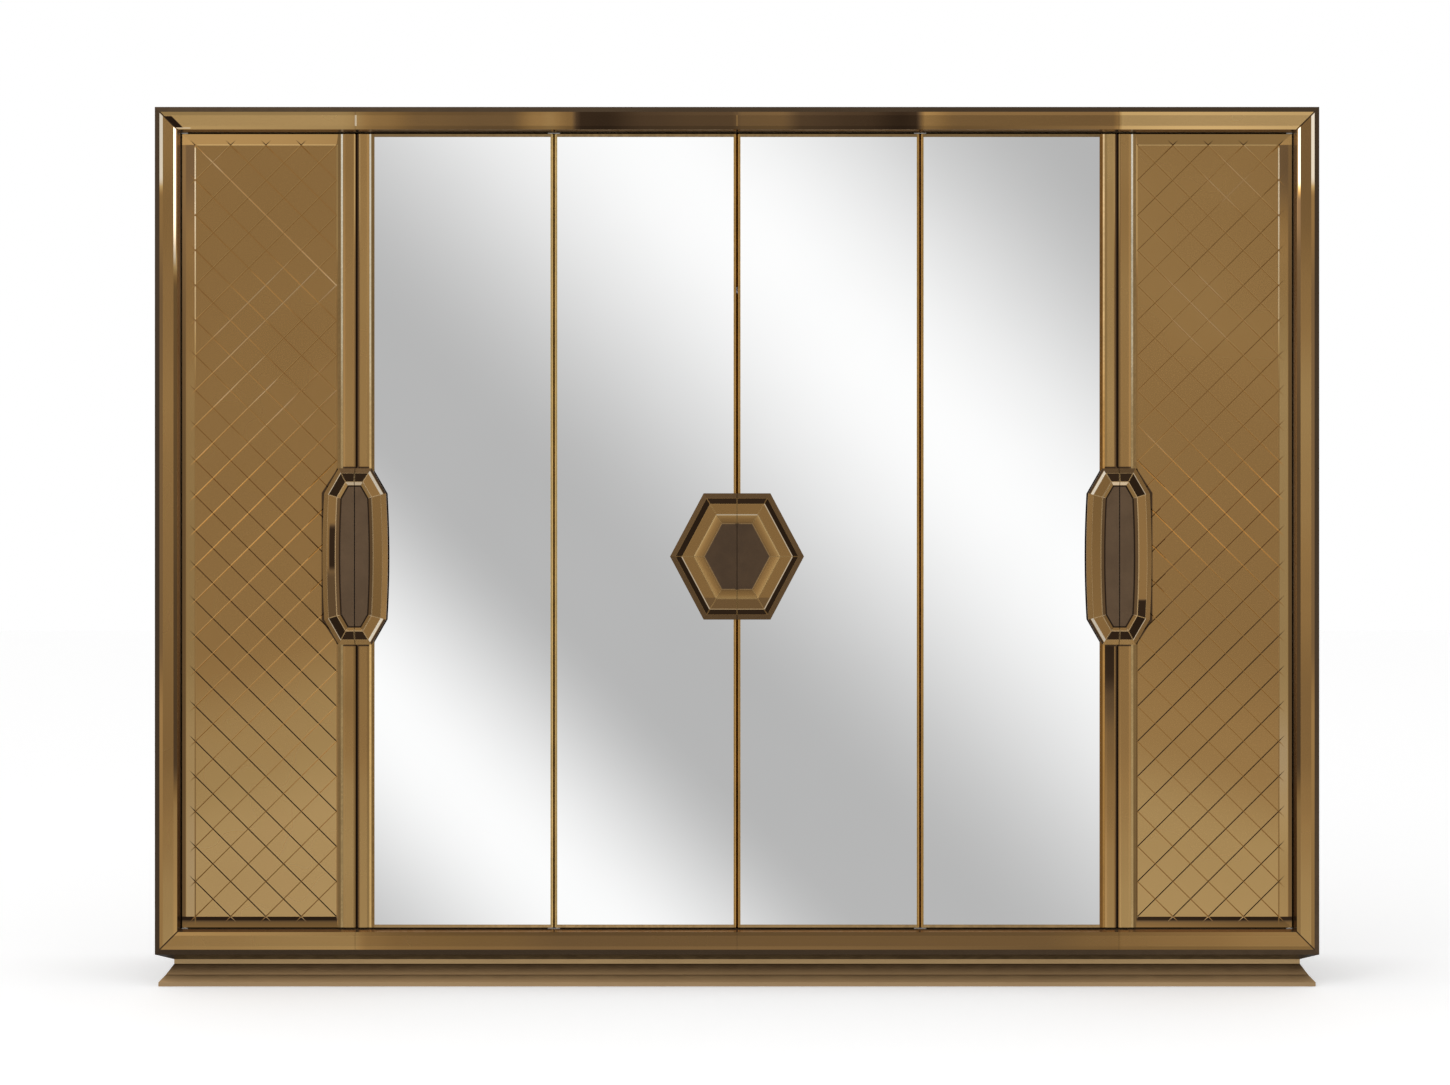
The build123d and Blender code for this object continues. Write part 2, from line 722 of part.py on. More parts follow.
for pull, doors in ((octagon, {1: Keep.BOTTOM, 2: Keep.TOP}), (hexagon, {3: Keep.BOTTOM})):
    with BuildPart() as body:
        pull_body(pull)
    with BuildPart() as dish:
        dish_glass(pull)
    with BuildPart() as glass:
        facet_glass(pull)
        add(dish.part)
        mitre_joints(pull)
    with BuildPart() as plaque:
        pull.prism(pull.dish_inset, pull.plaque_height - pull_glass, pull.plaque_height)
    for number, kept in doors.items():
        side_sign = -1 if kept == Keep.BOTTOM else 1
        split_plane = Plane.YZ.offset(pull.plane.origin.X + side_sign * pull_split / 2)
        for whole, suffix in ((body, "pull_body"), (glass, "pull_glass"), (plaque, "pull_plaque")):
            with BuildPart(pull.plane) as half:
                add(whole.part)
                split(bisect_by=split_plane, keep=kept)
            save_pair(half, f"door_{number}_{suffix}", f"door_{7 - number}_{suffix}")
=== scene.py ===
"""Armoire with six doors in bronze glass and mirror: its finishes, back screws and a plain studio."""

from math import radians

import bpy
from mathutils import Matrix, Vector


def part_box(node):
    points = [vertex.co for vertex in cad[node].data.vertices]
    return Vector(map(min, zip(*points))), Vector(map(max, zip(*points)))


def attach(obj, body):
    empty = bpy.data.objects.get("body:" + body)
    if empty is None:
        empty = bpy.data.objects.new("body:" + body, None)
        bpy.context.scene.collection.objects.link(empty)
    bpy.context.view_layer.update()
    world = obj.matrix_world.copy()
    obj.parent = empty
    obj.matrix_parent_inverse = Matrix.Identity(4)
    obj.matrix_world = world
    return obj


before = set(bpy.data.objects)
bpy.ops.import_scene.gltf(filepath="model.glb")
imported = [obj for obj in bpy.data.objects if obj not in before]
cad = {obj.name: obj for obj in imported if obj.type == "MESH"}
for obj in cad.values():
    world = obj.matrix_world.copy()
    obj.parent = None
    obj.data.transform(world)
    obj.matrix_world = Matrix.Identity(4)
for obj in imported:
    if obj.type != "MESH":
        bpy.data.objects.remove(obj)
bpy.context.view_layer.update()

# ---------------------------------------------------------------- studio
# A white paper floor, an even white surround and two big soft lamps. The camera stands 7.5 m in
# front of the frame at 1.2 m, level and square to the doors.

front_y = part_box("frame_top")[0].y
camera_distance = 7.5
view_width = 3.950  # how much of the frame's front plane the picture takes in
sensor_width = 36.0

camera_data = bpy.data.cameras.new("camera")
camera_data.sensor_width = sensor_width
camera_data.lens = sensor_width * camera_distance / view_width
camera_data.shift_x = -0.0083
camera = bpy.data.objects.new("camera", camera_data)
camera.location = (0.0, front_y - camera_distance, 1.212)
camera.rotation_euler = (radians(90), 0.0, 0.0)
bpy.context.scene.collection.objects.link(camera)
bpy.context.scene.camera = camera
bpy.context.scene.view_settings.view_transform = "Standard"


def node(tree, kind, inputs=(), **settings):
    """A new shader node. Each input is a plain value or the output socket that feeds it."""
    made = tree.nodes.new("ShaderNode" + kind)
    for name, value in settings.items():
        setattr(made, name, value)
    for socket, value in dict(inputs).items():
        if isinstance(value, bpy.types.NodeSocket):
            tree.links.new(value, made.inputs[socket])
        else:
            made.inputs[socket].default_value = value
    return made


def math(tree, operation, *values):
    """Result of one Math node."""
    return node(tree, "Math", enumerate(values), operation=operation).outputs[0]


def times(tree, first, second):
    """Product of two values."""
    return math(tree, "MULTIPLY", first, second)


def size_of(tree, value):
    """A value without its sign."""
    return math(tree, "ABSOLUTE", value)


def axes(tree, coordinates):
    """The X, Y and Z of one kind of texture coordinates."""
    return node(tree, "SeparateXYZ", {0: node(tree, "TexCoord").outputs[coordinates]}).outputs


def rise(tree, value, start, end, low=0.0, high=1.0):
    """A value that goes smoothly from low to high while another goes from start to end."""
    inputs = {"Value": value, "From Min": start, "From Max": end, "To Min": low, "To Max": high}
    return node(tree, "MapRange", inputs, interpolation_type="SMOOTHSTEP").outputs["Result"]


def between(tree, value, start, end, soft):
    """1 where a value lies between start and end, and 0 outside, with soft edges inside that range."""
    return times(tree, rise(tree, value, start, start + soft), rise(tree, value, end, end - soft))


def ramp(tree, value, stops, interpolation="EASE"):
    """A colour ramp with stops of (place, grey or colour)."""
    made = node(tree, "ValToRGB", {"Fac": value})
    made.color_ramp.interpolation = interpolation
    elements = made.color_ramp.elements
    while len(elements) < len(stops):
        elements.new(1.0)
    for element, (place, shade) in zip(elements, stops):
        element.position = place
        element.color = (*shade, 1.0) if isinstance(shade, tuple) else (shade, shade, shade, 1.0)
    return made.outputs["Color"]


world = bpy.data.worlds.new("studio")
world.use_nodes = True
bpy.context.scene.world = world
tree = world.node_tree
tree.nodes.clear()
east, north, up = axes(tree, "Generated")
slant = math(tree, "ADD", east, up)
# Soft diagonal bands of light and half-light for the mirror doors to show, from one end of the slant
# to the other.
bands = [
    (-1.00, 0.50), (-0.60, 0.86), (-0.42, 0.50), (-0.29, 0.50), (-0.188, 1.00), (-0.088, 0.475),
    (-0.050, 0.475), (0.115, 1.00), (0.268, 0.47), (0.45, 0.52), (0.70, 0.95), (1.00, 0.50),
]
band_place = node(
    tree, "MapRange", {"Value": slant, "From Min": -1.0, "From Max": 1.0, "To Min": 0.0, "To Max": 1.0}
).outputs["Result"]
banded = ramp(tree, band_place, [((place + 1) / 2, shade) for place, shade in bands])
# A high lamp on either side, narrow enough that only the upper parts of the stiles' inner bevels
# catch it.
turn = size_of(tree, math(tree, "ARCTAN2", east, times(tree, north, -1.0)))
lamp = between(tree, turn, radians(16.2), radians(18.7), radians(0.5))
lamp = times(tree, lamp, between(tree, up, 0.10, 0.175, 0.015))
brightness = rise(tree, north, -0.3, 0.05, 1.0, 0.45)
brightness = math(tree, "MULTIPLY_ADD", lamp, 1.3, brightness)
sky = node(tree, "Mix", {0: lamp, 6: banded, 7: (1.0, 1.0, 1.0, 1.0)}, data_type="RGBA").outputs[2]
seen = node(tree, "Background", {"Color": sky, "Strength": brightness})
plain = node(tree, "Background", {"Color": (1.0, 1.0, 1.0, 1.0), "Strength": 0.82})
white = node(tree, "Background", {"Color": (1.0, 1.0, 1.0, 1.0), "Strength": 1.0})
light_path = node(tree, "LightPath")
reflected = math(
    tree, "MAXIMUM", light_path.outputs["Is Glossy Ray"], light_path.outputs["Is Transmission Ray"]
)
inner = node(tree, "MixShader", [(0, reflected), (1, plain.outputs[0]), (2, seen.outputs[0])])
seen_directly = light_path.outputs["Is Camera Ray"]
outer = node(tree, "MixShader", [(0, seen_directly), (1, inner.outputs[0]), (2, white.outputs[0])])
node(tree, "OutputWorld", {"Surface": outer.outputs[0]})


def soft_lamp(name, location, target, width, height, power):
    """A rectangular lamp aimed at a point."""
    lamp_data = bpy.data.lights.new(name, "AREA")
    lamp_data.shape = "RECTANGLE"
    lamp_data.size, lamp_data.size_y = width, height
    lamp_data.energy = power
    lamp = bpy.data.objects.new(name, lamp_data)
    lamp.location = location
    lamp.rotation_euler = (Vector(target) - Vector(location)).to_track_quat("-Z", "Y").to_euler()
    lamp.visible_glossy = False
    bpy.context.scene.collection.objects.link(lamp)


soft_lamp("key_lamp", (-3.5, -5.5, 4.5), (0, 0, 1.0), 3.0, 3.0, 90)
soft_lamp("fill_lamp", (4.5, -5.0, 3.5), (0, 0, 1.2), 3.0, 3.0, 40)

bpy.ops.object.select_all(action="DESELECT")
bpy.ops.mesh.primitive_plane_add(size=60.0, location=(0, 0, -0.0005))
floor = bpy.context.active_object
floor.name = "floor"
floor.visible_glossy = False
floor_paper = bpy.data.materials.new("floor_paper")
floor_paper.use_nodes = True
tree = floor_paper.node_tree
tree.nodes["Principled BSDF"].inputs["Base Color"].default_value = (0.93, 0.93, 0.93, 1.0)
tree.nodes["Principled BSDF"].inputs["Roughness"].default_value = 0.9
tree.nodes["Principled BSDF"].inputs["Emission Color"].default_value = (1.0, 1.0, 1.0, 1.0)
paper_light = times(tree, node(tree, "LightPath").outputs["Is Camera Ray"], 0.25)
tree.links.new(paper_light, tree.nodes["Principled BSDF"].inputs["Emission Strength"])
floor.data.materials.append(floor_paper)

# ---------------------------------------------------------------- picture frame
# Four mitred members of hardwood in dark bronze lacquer, joined at the corners. Only their outer and
# inner chamfers show beside the glass; the lacquer is polished, with faint rubbing marks.


def new_finish(name, roughness=0.5, metallic=0.0):
    """A new material; returns it with its node tree and its shader."""
    made = bpy.data.materials.new(name)
    made.use_nodes = True
    shader = made.node_tree.nodes["Principled BSDF"]
    shader.inputs["Roughness"].default_value = roughness
    shader.inputs["Metallic"].default_value = metallic
    return made, made.node_tree, shader


def new_group(name, inputs, outputs):
    """An empty node group with its sockets; returns it with its input node's and output node's ends."""
    group = bpy.data.node_groups.new(name, "ShaderNodeTree")
    for socket, kind, value in inputs:
        made = group.interface.new_socket(socket, in_out="INPUT", socket_type="NodeSocket" + kind)
        made.default_value = value
    for socket, kind in outputs:
        group.interface.new_socket(socket, in_out="OUTPUT", socket_type="NodeSocket" + kind)
    return group, group.nodes.new("NodeGroupInput").outputs, group.nodes.new("NodeGroupOutput").inputs


def use_group(tree, group, **inputs):
    """One of the shared groups placed in a material; underscores in a name stand for spaces."""
    made = tree.nodes.new("ShaderNodeGroup")
    made.node_tree = group
    for socket, value in inputs.items():
        socket = socket.replace("_", " ")
        if isinstance(value, bpy.types.NodeSocket):
            tree.links.new(value, made.inputs[socket])
        else:
            made.inputs[socket].default_value = value
    return made.outputs


def mix_color(tree, factor, first, second, blend="MIX"):
    """One colour laid over another."""
    made = node(tree, "Mix", data_type="RGBA", blend_type=blend)
    for socket, value in ((0, factor), (6, first), (7, second)):
        if isinstance(value, bpy.types.NodeSocket):
            tree.links.new(value, made.inputs[socket])
        elif isinstance(value, tuple):
            made.inputs[socket].default_value = (*value, 1.0)
        else:
            made.inputs[socket].default_value = value
    return made.outputs[2]


def lean_along(tree, first, second):
    """How far one direction leans along another, from -1 to 1."""
    return node(tree, "VectorMath", {0: first, 1: second}, operation="DOT_PRODUCT").outputs["Value"]


def dress(names, material):
    """Give a finish to CAD nodes."""
    for name in names:
        cad[name].data.materials.clear()
        cad[name].data.materials.append(material)


# Where a face looks: how far it leans right, up and to the front, and 1 in Flat where it is square to
# the front.
facing, _, ends = new_group("facing", [], [(name, "Float") for name in ("Flat", "Right", "Up", "Front")])
lean = axes(facing, "Normal")
front = times(facing, lean[1], -1.0)
facing.links.new(rise(facing, front, 0.9965, 0.9993), ends["Flat"])
facing.links.new(lean[0], ends["Right"])
facing.links.new(lean[2], ends["Up"])
facing.links.new(front, ends["Front"])

# Faint cloudy marks of handling and polishing, 0 to 1, at two sizes.
marks, starts, ends = new_group(
    "polish_marks", [("Size", "Float", 0.2)], [("Cloud", "Float"), ("Fine", "Float")]
)
place = node(marks, "TexCoord").outputs["Object"]
inverse = math(marks, "DIVIDE", 1.0, starts["Size"])
cloud_inputs = {"Vector": place, "Scale": inverse, "Detail": 3.0, "Roughness": 0.55}
cloud = node(marks, "TexNoise", cloud_inputs).outputs[0]
fine_inputs = {"Vector": place, "Scale": times(marks, inverse, 14.0), "Detail": 2.0}
fine = node(marks, "TexNoise", fine_inputs).outputs[0]
marks.links.new(rise(marks, cloud, 0.3, 0.7), ends["Cloud"])
marks.links.new(rise(marks, fine, 0.35, 0.65), ends["Fine"])

lacquer_dark = (0.062, 0.038, 0.019)
# Each member's inward direction, the tone of its outer chamfer, and the tones of its inner chamfer low
# down and high up. These tones are painted light and shade: the outer chamfers dark, and the stiles'
# inner chamfers lighter high up.
stile_tones = ((0.100, 0.064, 0.036), (0.20, 0.125, 0.065), (0.52, 0.375, 0.225))
members = {
    "frame_bottom": ((0.0, 0.0, 1.0), (0.085, 0.054, 0.030), (0.47, 0.30, 0.16), (0.47, 0.30, 0.16)),
    "frame_top": ((0.0, 0.0, -1.0), (0.105, 0.068, 0.038), (0.35, 0.25, 0.15), (0.35, 0.25, 0.15)),
    "frame_left": ((1.0, 0.0, 0.0), *stile_tones),
    "frame_right": ((-1.0, 0.0, 0.0), *stile_tones),
}
for name, (inward, outer_tone, low_tone, high_tone) in members.items():
    frame_lacquer, tree, shader = new_finish(name + "_lacquer", metallic=0.9)
    cloud, fine = use_group(tree, marks, Size=0.35)
    texture = node(tree, "TexCoord").outputs
    height = node(tree, "SeparateXYZ", {0: texture["Object"]}).outputs[2]
    inner_face = lean_along(tree, texture["Normal"], inward)
    inner_tone = mix_color(tree, rise(tree, height, 0.35, 1.3), low_tone, high_tone)
    tone = mix_color(tree, rise(tree, inner_face, 0.3, 0.6), outer_tone, inner_tone)
    tone = mix_color(tree, times(tree, cloud, 0.2), tone, lacquer_dark)
    tree.links.new(tone, shader.inputs["Base Color"])
    tree.links.new(rise(tree, fine, 0.0, 1.0, 0.16, 0.26), shader.inputs["Roughness"])
    dress([name], frame_lacquer)

# ---------------------------------------------------------------- frame glass
# Ten strips of bronze mirror glass with wide polished bevels, glued into the frame's rebate. They
# meet at mitred corners, and the rails' strips also where the door pulls are.


def minus(tree, first, second):
    """Difference of two values."""
    return math(tree, "SUBTRACT", first, second)


# Bronze glass from deep brown (0) through gold (1) to the near white of a painted glint (1.6).
bronze_tone, starts, ends = new_group(
    "bronze_tone", [("Tone", "Float", 0.6), ("Cloud", "Float", 0.5)], [("Color", "Color")]
)
clouded = minus(bronze_tone, starts["Cloud"], 0.5)
level = math(bronze_tone, "MULTIPLY_ADD", clouded, 0.03, starts["Tone"])
bronze_stops = [
    (0.0, (0.022, 0.012, 0.007)),
    (0.25, (0.100, 0.058, 0.029)),
    (0.42, (0.190, 0.110, 0.047)),
    (0.62, (0.310, 0.173, 0.060)),
    (0.80, (0.412, 0.235, 0.082)),
    (1.0, (0.535, 0.340, 0.132)),
    (1.15, (0.660, 0.430, 0.180)),
    (1.6, (1.000, 0.880, 0.700)),
]
brightest = bronze_stops[-1][0]
bronze_stops = [(tone / brightest, color) for tone, color in bronze_stops]
level = math(bronze_tone, "DIVIDE", level, brightest)
bronze_tone.links.new(ramp(bronze_tone, level, bronze_stops, "LINEAR"), ends["Color"])


def bronze_glass(name, flat_roughness=0.27, bevel_roughness=0.06):
    """A bronze mirror glass whose tone is still to be linked; returns what its section needs."""
    made, tree, shader = new_finish(name, metallic=1.0)
    cloud = use_group(tree, marks, Size=0.5)["Cloud"]
    faces = use_group(tree, facing)
    roughness = rise(tree, faces["Flat"], 0.0, 1.0, bevel_roughness, flat_roughness)
    roughness = math(tree, "MULTIPLY_ADD", minus(tree, cloud, 0.5), 0.04, roughness)
    tree.links.new(roughness, shader.inputs["Roughness"])
    place = axes(tree, "Object")

    def set_tone(tone):
        color = use_group(tree, bronze_tone, Tone=tone, Cloud=cloud)["Color"]
        tree.links.new(color, shader.inputs["Base Color"])

    return made, tree, faces, place, set_tone


def lay(tree, mask, tone, over):
    """A tone laid over another where a mask is 1."""
    return node(tree, "Mix", {0: mask, 2: tone, 3: over}).outputs[0]


def span(tree, value, stops, interpolation="EASE"):
    """A tone along a length, from stops of (place, tone)."""
    first, last = stops[0][0], stops[-1][0]
    inputs = {"Value": value, "From Min": first, "From Max": last, "To Min": 0.0, "To Max": 1.0}
    share = node(tree, "MapRange", inputs).outputs["Result"]
    placed = [((place - first) / (last - first), tone) for place, tone in stops]
    return ramp(tree, share, placed, interpolation)


def lighter(stops, gain):
    """Stops of (place, tone) with every tone raised by one gain."""
    return [(place, tone * gain) for place, tone in stops]


frame_strip, tree, faces, place, set_tone = bronze_glass("frame_glass")
x, _, z = place
low_corner, high_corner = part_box("frame_glass")
# Distances in from the outline's side, top and bottom, which are equal along the mitres.
from_side = minus(tree, high_corner.x, size_of(tree, x))
from_top = minus(tree, high_corner.z, z)
from_bottom = minus(tree, z, low_corner.z)
# Painted reflections: tones up the stiles and along the rails, and how much the left stile and the
# bottom rail are lighter than their own stops.
left_gain = 1.045
bottom_gain = 1.04
left_stops = [
    (0.10, 0.96), (0.24, 0.91), (0.42, 0.78), (0.53, 0.69), (0.64, 0.60), (0.80, 0.62), (1.05, 0.68),
    (1.33, 0.70), (1.60, 0.765), (1.87, 0.69), (2.14, 0.60), (2.30, 0.685), (2.40, 0.69),
]
right_stops = [
    (0.10, 0.96), (0.24, 0.92), (0.42, 0.82), (0.51, 0.73), (0.64, 0.62), (0.80, 0.61), (1.05, 0.75),
    (1.33, 0.87), (1.60, 0.93), (1.87, 0.77), (2.14, 0.58), (2.40, 0.58),
]
left_tone = span(tree, z, lighter(left_stops, left_gain))
right_side = rise(tree, x, -0.01, 0.01)
stile_tone = lay(tree, right_side, left_tone, span(tree, z, right_stops))
# The stiles' bevels carry painted glints at the top. Further down the inner ones carry painted shade
# beside the lacquer, except near the floor.
outer_bevel = times(tree, rise(tree, faces["Flat"], 1.0, 0.0), rise(tree, from_side, 0.016, 0.012))
inner_bevel = times(tree, rise(tree, faces["Flat"], 1.0, 0.0), rise(tree, from_side, 0.030, 0.036))
outer_stops = [
    (0.10, 0.80), (0.72, 0.78), (0.95, 0.46), (1.85, 0.44), (2.15, 0.66), (2.21, 1.55), (2.40, 1.60),
]
left_inner_stops = [
    (0.10, 0.90), (0.48, 0.86), (0.62, 0.30), (1.00, 0.36), (1.30, 0.47), (1.90, 0.53), (2.00, 1.45),
    (2.40, 1.55),
]
right_inner_stops = [
    (0.10, 0.90), (0.48, 0.86), (0.62, 0.34), (1.00, 0.38), (1.90, 0.42), (2.14, 0.34), (2.20, 1.50),
    (2.40, 1.50),
]
stile_tone = lay(tree, outer_bevel, stile_tone, span(tree, z, outer_stops))
bevel_tone = lay(tree, right_side, span(tree, z, left_inner_stops), span(tree, z, right_inner_stops))
# High up only the middle of the inner bevel carries the painted glint.
beside_glint = minus(tree, 1.0, between(tree, from_side, 0.0365, 0.0455, 0.0012))
bevel_tone = lay(tree, times(tree, beside_glint, rise(tree, z, 1.95, 2.05)), bevel_tone, 0.40)
stile_tone = lay(tree, inner_bevel, stile_tone, bevel_tone)
top_stops = [
    (-1.60, 1.03), (-1.08, 1.03), (-0.97, 0.71), (-0.86, 0.515), (-0.70, 0.465), (-0.62, 0.47),
    (-0.545, 0.80), (-0.51, 0.86), (-0.45, 0.60), (-0.43, 0.10), (-0.36, 0.08), (-0.24, 0.24),
    (-0.10, 0.285), (-0.004, 0.29), (0.004, 0.43), (0.12, 0.46), (0.18, 0.27), (0.34, 0.18),
    (0.45, 0.07), (0.49, 0.10), (0.51, 0.78), (0.60, 0.545), (1.036, 0.54), (1.040, 1.09), (1.26, 1.12),
    (1.60, 1.12),
]
bottom_stops = [
    (-1.60, 0.80), (-1.46, 0.82), (-1.19, 0.855), (-1.045, 0.85), (-1.00, 0.66), (-0.918, 0.58),
    (-0.645, 0.537), (-0.45, 0.46), (0.80, 0.46), (0.99, 0.56), (1.035, 0.57), (1.045, 0.63),
    (1.26, 0.685), (1.43, 0.77), (1.60, 0.79),
]
top_lead = minus(tree, from_side, from_top)
bottom_lead = minus(tree, from_side, from_bottom)
tone = lay(tree, rise(tree, top_lead, -0.0003, 0.0003), stile_tone, span(tree, x, top_stops))
bottom_tone = span(tree, x, lighter(bottom_stops, bottom_gain))
tone = lay(tree, rise(tree, bottom_lead, -0.0003, 0.0003), tone, bottom_tone)
# The mitre lines are darker, and a wider dark patch lies at the top left corner.
for lead in (top_lead, bottom_lead):
    tone = lay(tree, rise(tree, size_of(tree, lead), 0.0030, 0.0016), tone, 0.10)
top_left = times(tree, rise(tree, x, -1.0, -1.2), between(tree, top_lead, -0.001, 0.022, 0.0015))
top_left = times(tree, top_left, between(tree, from_top, 0.010, 0.046, 0.004))
tone = lay(tree, top_left, tone, 0.02)
# Light on the edges of two of the top rail's joints.
for joint_x, reach, joint_tone in ((-1.0385, 0.0030, 1.45), (0.0, 0.0020, 0.80)):
    joint = between(tree, x, joint_x - reach, joint_x + reach, 0.0008)
    joint = times(tree, joint, between(tree, from_top, 0.008, 0.040, 0.002))
    tone = lay(tree, joint, tone, joint_tone)
# A glint on the top rail's lower bevel beside the left-hand mitre.
mitre_glint = times(tree, between(tree, from_top, 0.0425, 0.0460, 0.0010), rise(tree, top_lead, 0.0, 0.002))
tone = lay(tree, times(tree, mitre_glint, rise(tree, x, -1.484, -1.492)), tone, 1.4)
set_tone(tone)
dress(["frame_glass"], frame_strip)

# ---------------------------------------------------------------- plinth
# A moulded base of hardwood in the frame's bronze lacquer: a deep cove under the frame, a neck, and a
# foot that flares out to the floor. It is glued up from four mitred lengths.

plinth_lacquer, tree, shader = new_finish("plinth_lacquer", metallic=0.9)
cloud, fine = use_group(tree, marks, Size=0.6)
height = axes(tree, "Object")[2]
# Up the moulding: foot, lower flare, upper flare, neck and cove, in painted light and shade: the flares
# lighter or darker as they face, thin dark lines of painted shade where the parts meet, and the cove
# nearly black in painted shade.
moulding_stops = [
    (0.000, (0.50, 0.335, 0.175)),
    (0.0108, (0.50, 0.335, 0.175)),
    (0.0112, (0.62, 0.40, 0.20)),
    (0.0265, (0.54, 0.35, 0.17)),
    (0.0290, (0.26, 0.155, 0.070)),
    (0.0300, (0.44, 0.28, 0.135)),
    (0.0540, (0.36, 0.225, 0.110)),
    (0.0562, (0.13, 0.075, 0.032)),
    (0.0568, (0.52, 0.35, 0.165)),
    (0.0688, (0.50, 0.335, 0.160)),
    (0.0692, (0.040, 0.024, 0.012)),
    (0.0880, (0.026, 0.016, 0.009)),
]
tone = span(tree, height, moulding_stops, "LINEAR")
tone = mix_color(tree, times(tree, cloud, 0.12), tone, lacquer_dark)
tree.links.new(tone, shader.inputs["Base Color"])
tree.links.new(rise(tree, fine, 0.0, 1.0, 0.32, 0.38), shader.inputs["Roughness"])
dress(["plinth"], plinth_lacquer)

# ---------------------------------------------------------------- carcass
# Sides, top, floor, partitions and shelves of veneered board. The outer faces of the sides and top
# carry satin bronze lacquer, and everything inside is brown walnut veneer.

# Straight veneer grain: Along is the direction of the grain, as a scale for each axis.
grain, starts, ends = new_group(
    "veneer", [("Along", "Vector", (1.0, 1.0, 0.06))], [("Figure", "Float"), ("Pores", "Float")]
)
stretch = {0: node(grain, "TexCoord").outputs["Object"], 1: starts["Along"]}
place = node(grain, "VectorMath", stretch, operation="MULTIPLY").outputs[0]
wander = node(grain, "TexNoise", {"Vector": place, "Scale": 5.0, "Detail": 3.0}).outputs[1]
bend = {0: wander, 1: (0.05, 0.05, 0.05), 2: place}
bent = node(grain, "VectorMath", bend, operation="MULTIPLY_ADD").outputs[0]
figure_inputs = {"Vector": bent, "Scale": 26.0, "Detail": 5.0, "Roughness": 0.6}
figure = node(grain, "TexNoise", figure_inputs).outputs[0]
pores = node(grain, "TexNoise", {"Vector": bent, "Scale": 330.0, "Detail": 2.0}).outputs[0]
grain.links.new(rise(grain, figure, 0.32, 0.7), ends["Figure"])
grain.links.new(rise(grain, pores, 0.58, 0.72), ends["Pores"])

walnut_dark = (0.062, 0.034, 0.019)
walnut_mid = (0.135, 0.078, 0.043)
walnut_light = (0.205, 0.125, 0.072)


def walnut(tree, along):
    """Colour and pores of walnut veneer with its grain along one axis."""
    figure, pores = use_group(tree, grain, Along=along)
    color = ramp(tree, figure, [(0.0, walnut_dark), (0.45, walnut_mid), (1.0, walnut_light)])
    return mix_color(tree, times(tree, pores, 0.5), color, walnut_dark), pores


def walnut_board(name, along):
    """Satin-lacquered walnut veneer on a board."""
    made, tree, shader = new_finish(name)
    color, pores = walnut(tree, along)
    fine = use_group(tree, marks, Size=0.25)["Fine"]
    tree.links.new(color, shader.inputs["Base Color"])
    tree.links.new(rise(tree, fine, 0.0, 1.0, 0.36, 0.5), shader.inputs["Roughness"])
    dents = node(tree, "Bump", {"Strength": 0.12, "Distance": 0.0003, "Height": minus(tree, 1.0, pores)})
    tree.links.new(dents.outputs[0], shader.inputs["Normal"])
    return made


upright_walnut = walnut_board("upright_walnut", (1.0, 1.0, 0.07))
level_walnut = walnut_board("level_walnut", (0.07, 1.0, 1.0))
dress(["partition_left", "partition_right"], upright_walnut)
dress(["carcass_floor", "upper_shelves"], level_walnut)


def outer_board(name, outward, along):
    """Bronze lacquer on a board's outer face, walnut veneer on the faces that look inwards."""
    made, tree, shader = new_finish(name)
    color, _ = walnut(tree, along)
    cloud = use_group(tree, marks, Size=0.4)["Cloud"]
    outside = lean_along(tree, node(tree, "TexCoord").outputs["Normal"], outward)
    outside = rise(tree, outside, -0.6, -0.4)
    lacquered = mix_color(tree, cloud, (0.112, 0.070, 0.036), (0.150, 0.094, 0.048))
    tree.links.new(mix_color(tree, outside, color, lacquered), shader.inputs["Base Color"])
    tree.links.new(rise(tree, cloud, 0.0, 1.0, 0.34, 0.37), shader.inputs["Roughness"])
    tree.links.new(times(tree, outside, 0.55), shader.inputs["Metallic"])
    tree.links.new(times(tree, outside, 0.5), shader.inputs["Coat Weight"])
    shader.inputs["Coat Roughness"].default_value = 0.08
    return made


dress(["side_left"], outer_board("side_left_finish", (-1.0, 0.0, 0.0), (1.0, 1.0, 0.07)))
dress(["side_right"], outer_board("side_right_finish", (1.0, 0.0, 0.0), (1.0, 1.0, 0.07)))
dress(["carcass_top"], outer_board("carcass_top_finish", (0.0, 0.0, 1.0), (0.07, 1.0, 1.0)))

# ---------------------------------------------------------------- back panels
# Three sheets of thin brown-faced board, let in between the sides and fixed to the rear edges of the
# partitions, top and floor with small screws.

back_board, tree, shader = new_finish("back_board", roughness=0.62)
figure, pores = use_group(tree, grain, Along=(2.2, 2.2, 0.05))
color = ramp(tree, figure, [(0.0, (0.112, 0.073, 0.045)), (1.0, (0.150, 0.100, 0.063))])
tree.links.new(mix_color(tree, times(tree, pores, 0.3), color, walnut_dark), shader.inputs["Base Color"])
dress(["back_panels"], back_board)

# ---------------------------------------------------------------- hanging rails and pivots
# Oval rails of polished chrome on end brackets, and small turned steel pins on plates for the doors.

chrome, tree, shader = new_finish("chrome", metallic=1.0)
cloud, fine = use_group(tree, marks, Size=0.1)
tree.links.new(mix_color(tree, cloud, (0.74, 0.75, 0.77), (0.82, 0.82, 0.83)), shader.inputs["Base Color"])
tree.links.new(rise(tree, fine, 0.0, 1.0, 0.06, 0.14), shader.inputs["Roughness"])
dress(["hanging_rails"], chrome)

steel, tree, shader = new_finish("steel", metallic=1.0)
cloud, fine = use_group(tree, marks, Size=0.02)
tree.links.new(mix_color(tree, cloud, (0.48, 0.47, 0.45), (0.58, 0.57, 0.55)), shader.inputs["Base Color"])
tree.links.new(rise(tree, fine, 0.0, 1.0, 0.25, 0.4), shader.inputs["Roughness"])
dress(["pivot_pins"], steel)

# ---------------------------------------------------------------- back screws
# Cross-head steel screws with domed heads, turned through the back panels into the rear edges of the
# partitions, top and floor.

head_radius = 0.0045
head_height = 0.0024


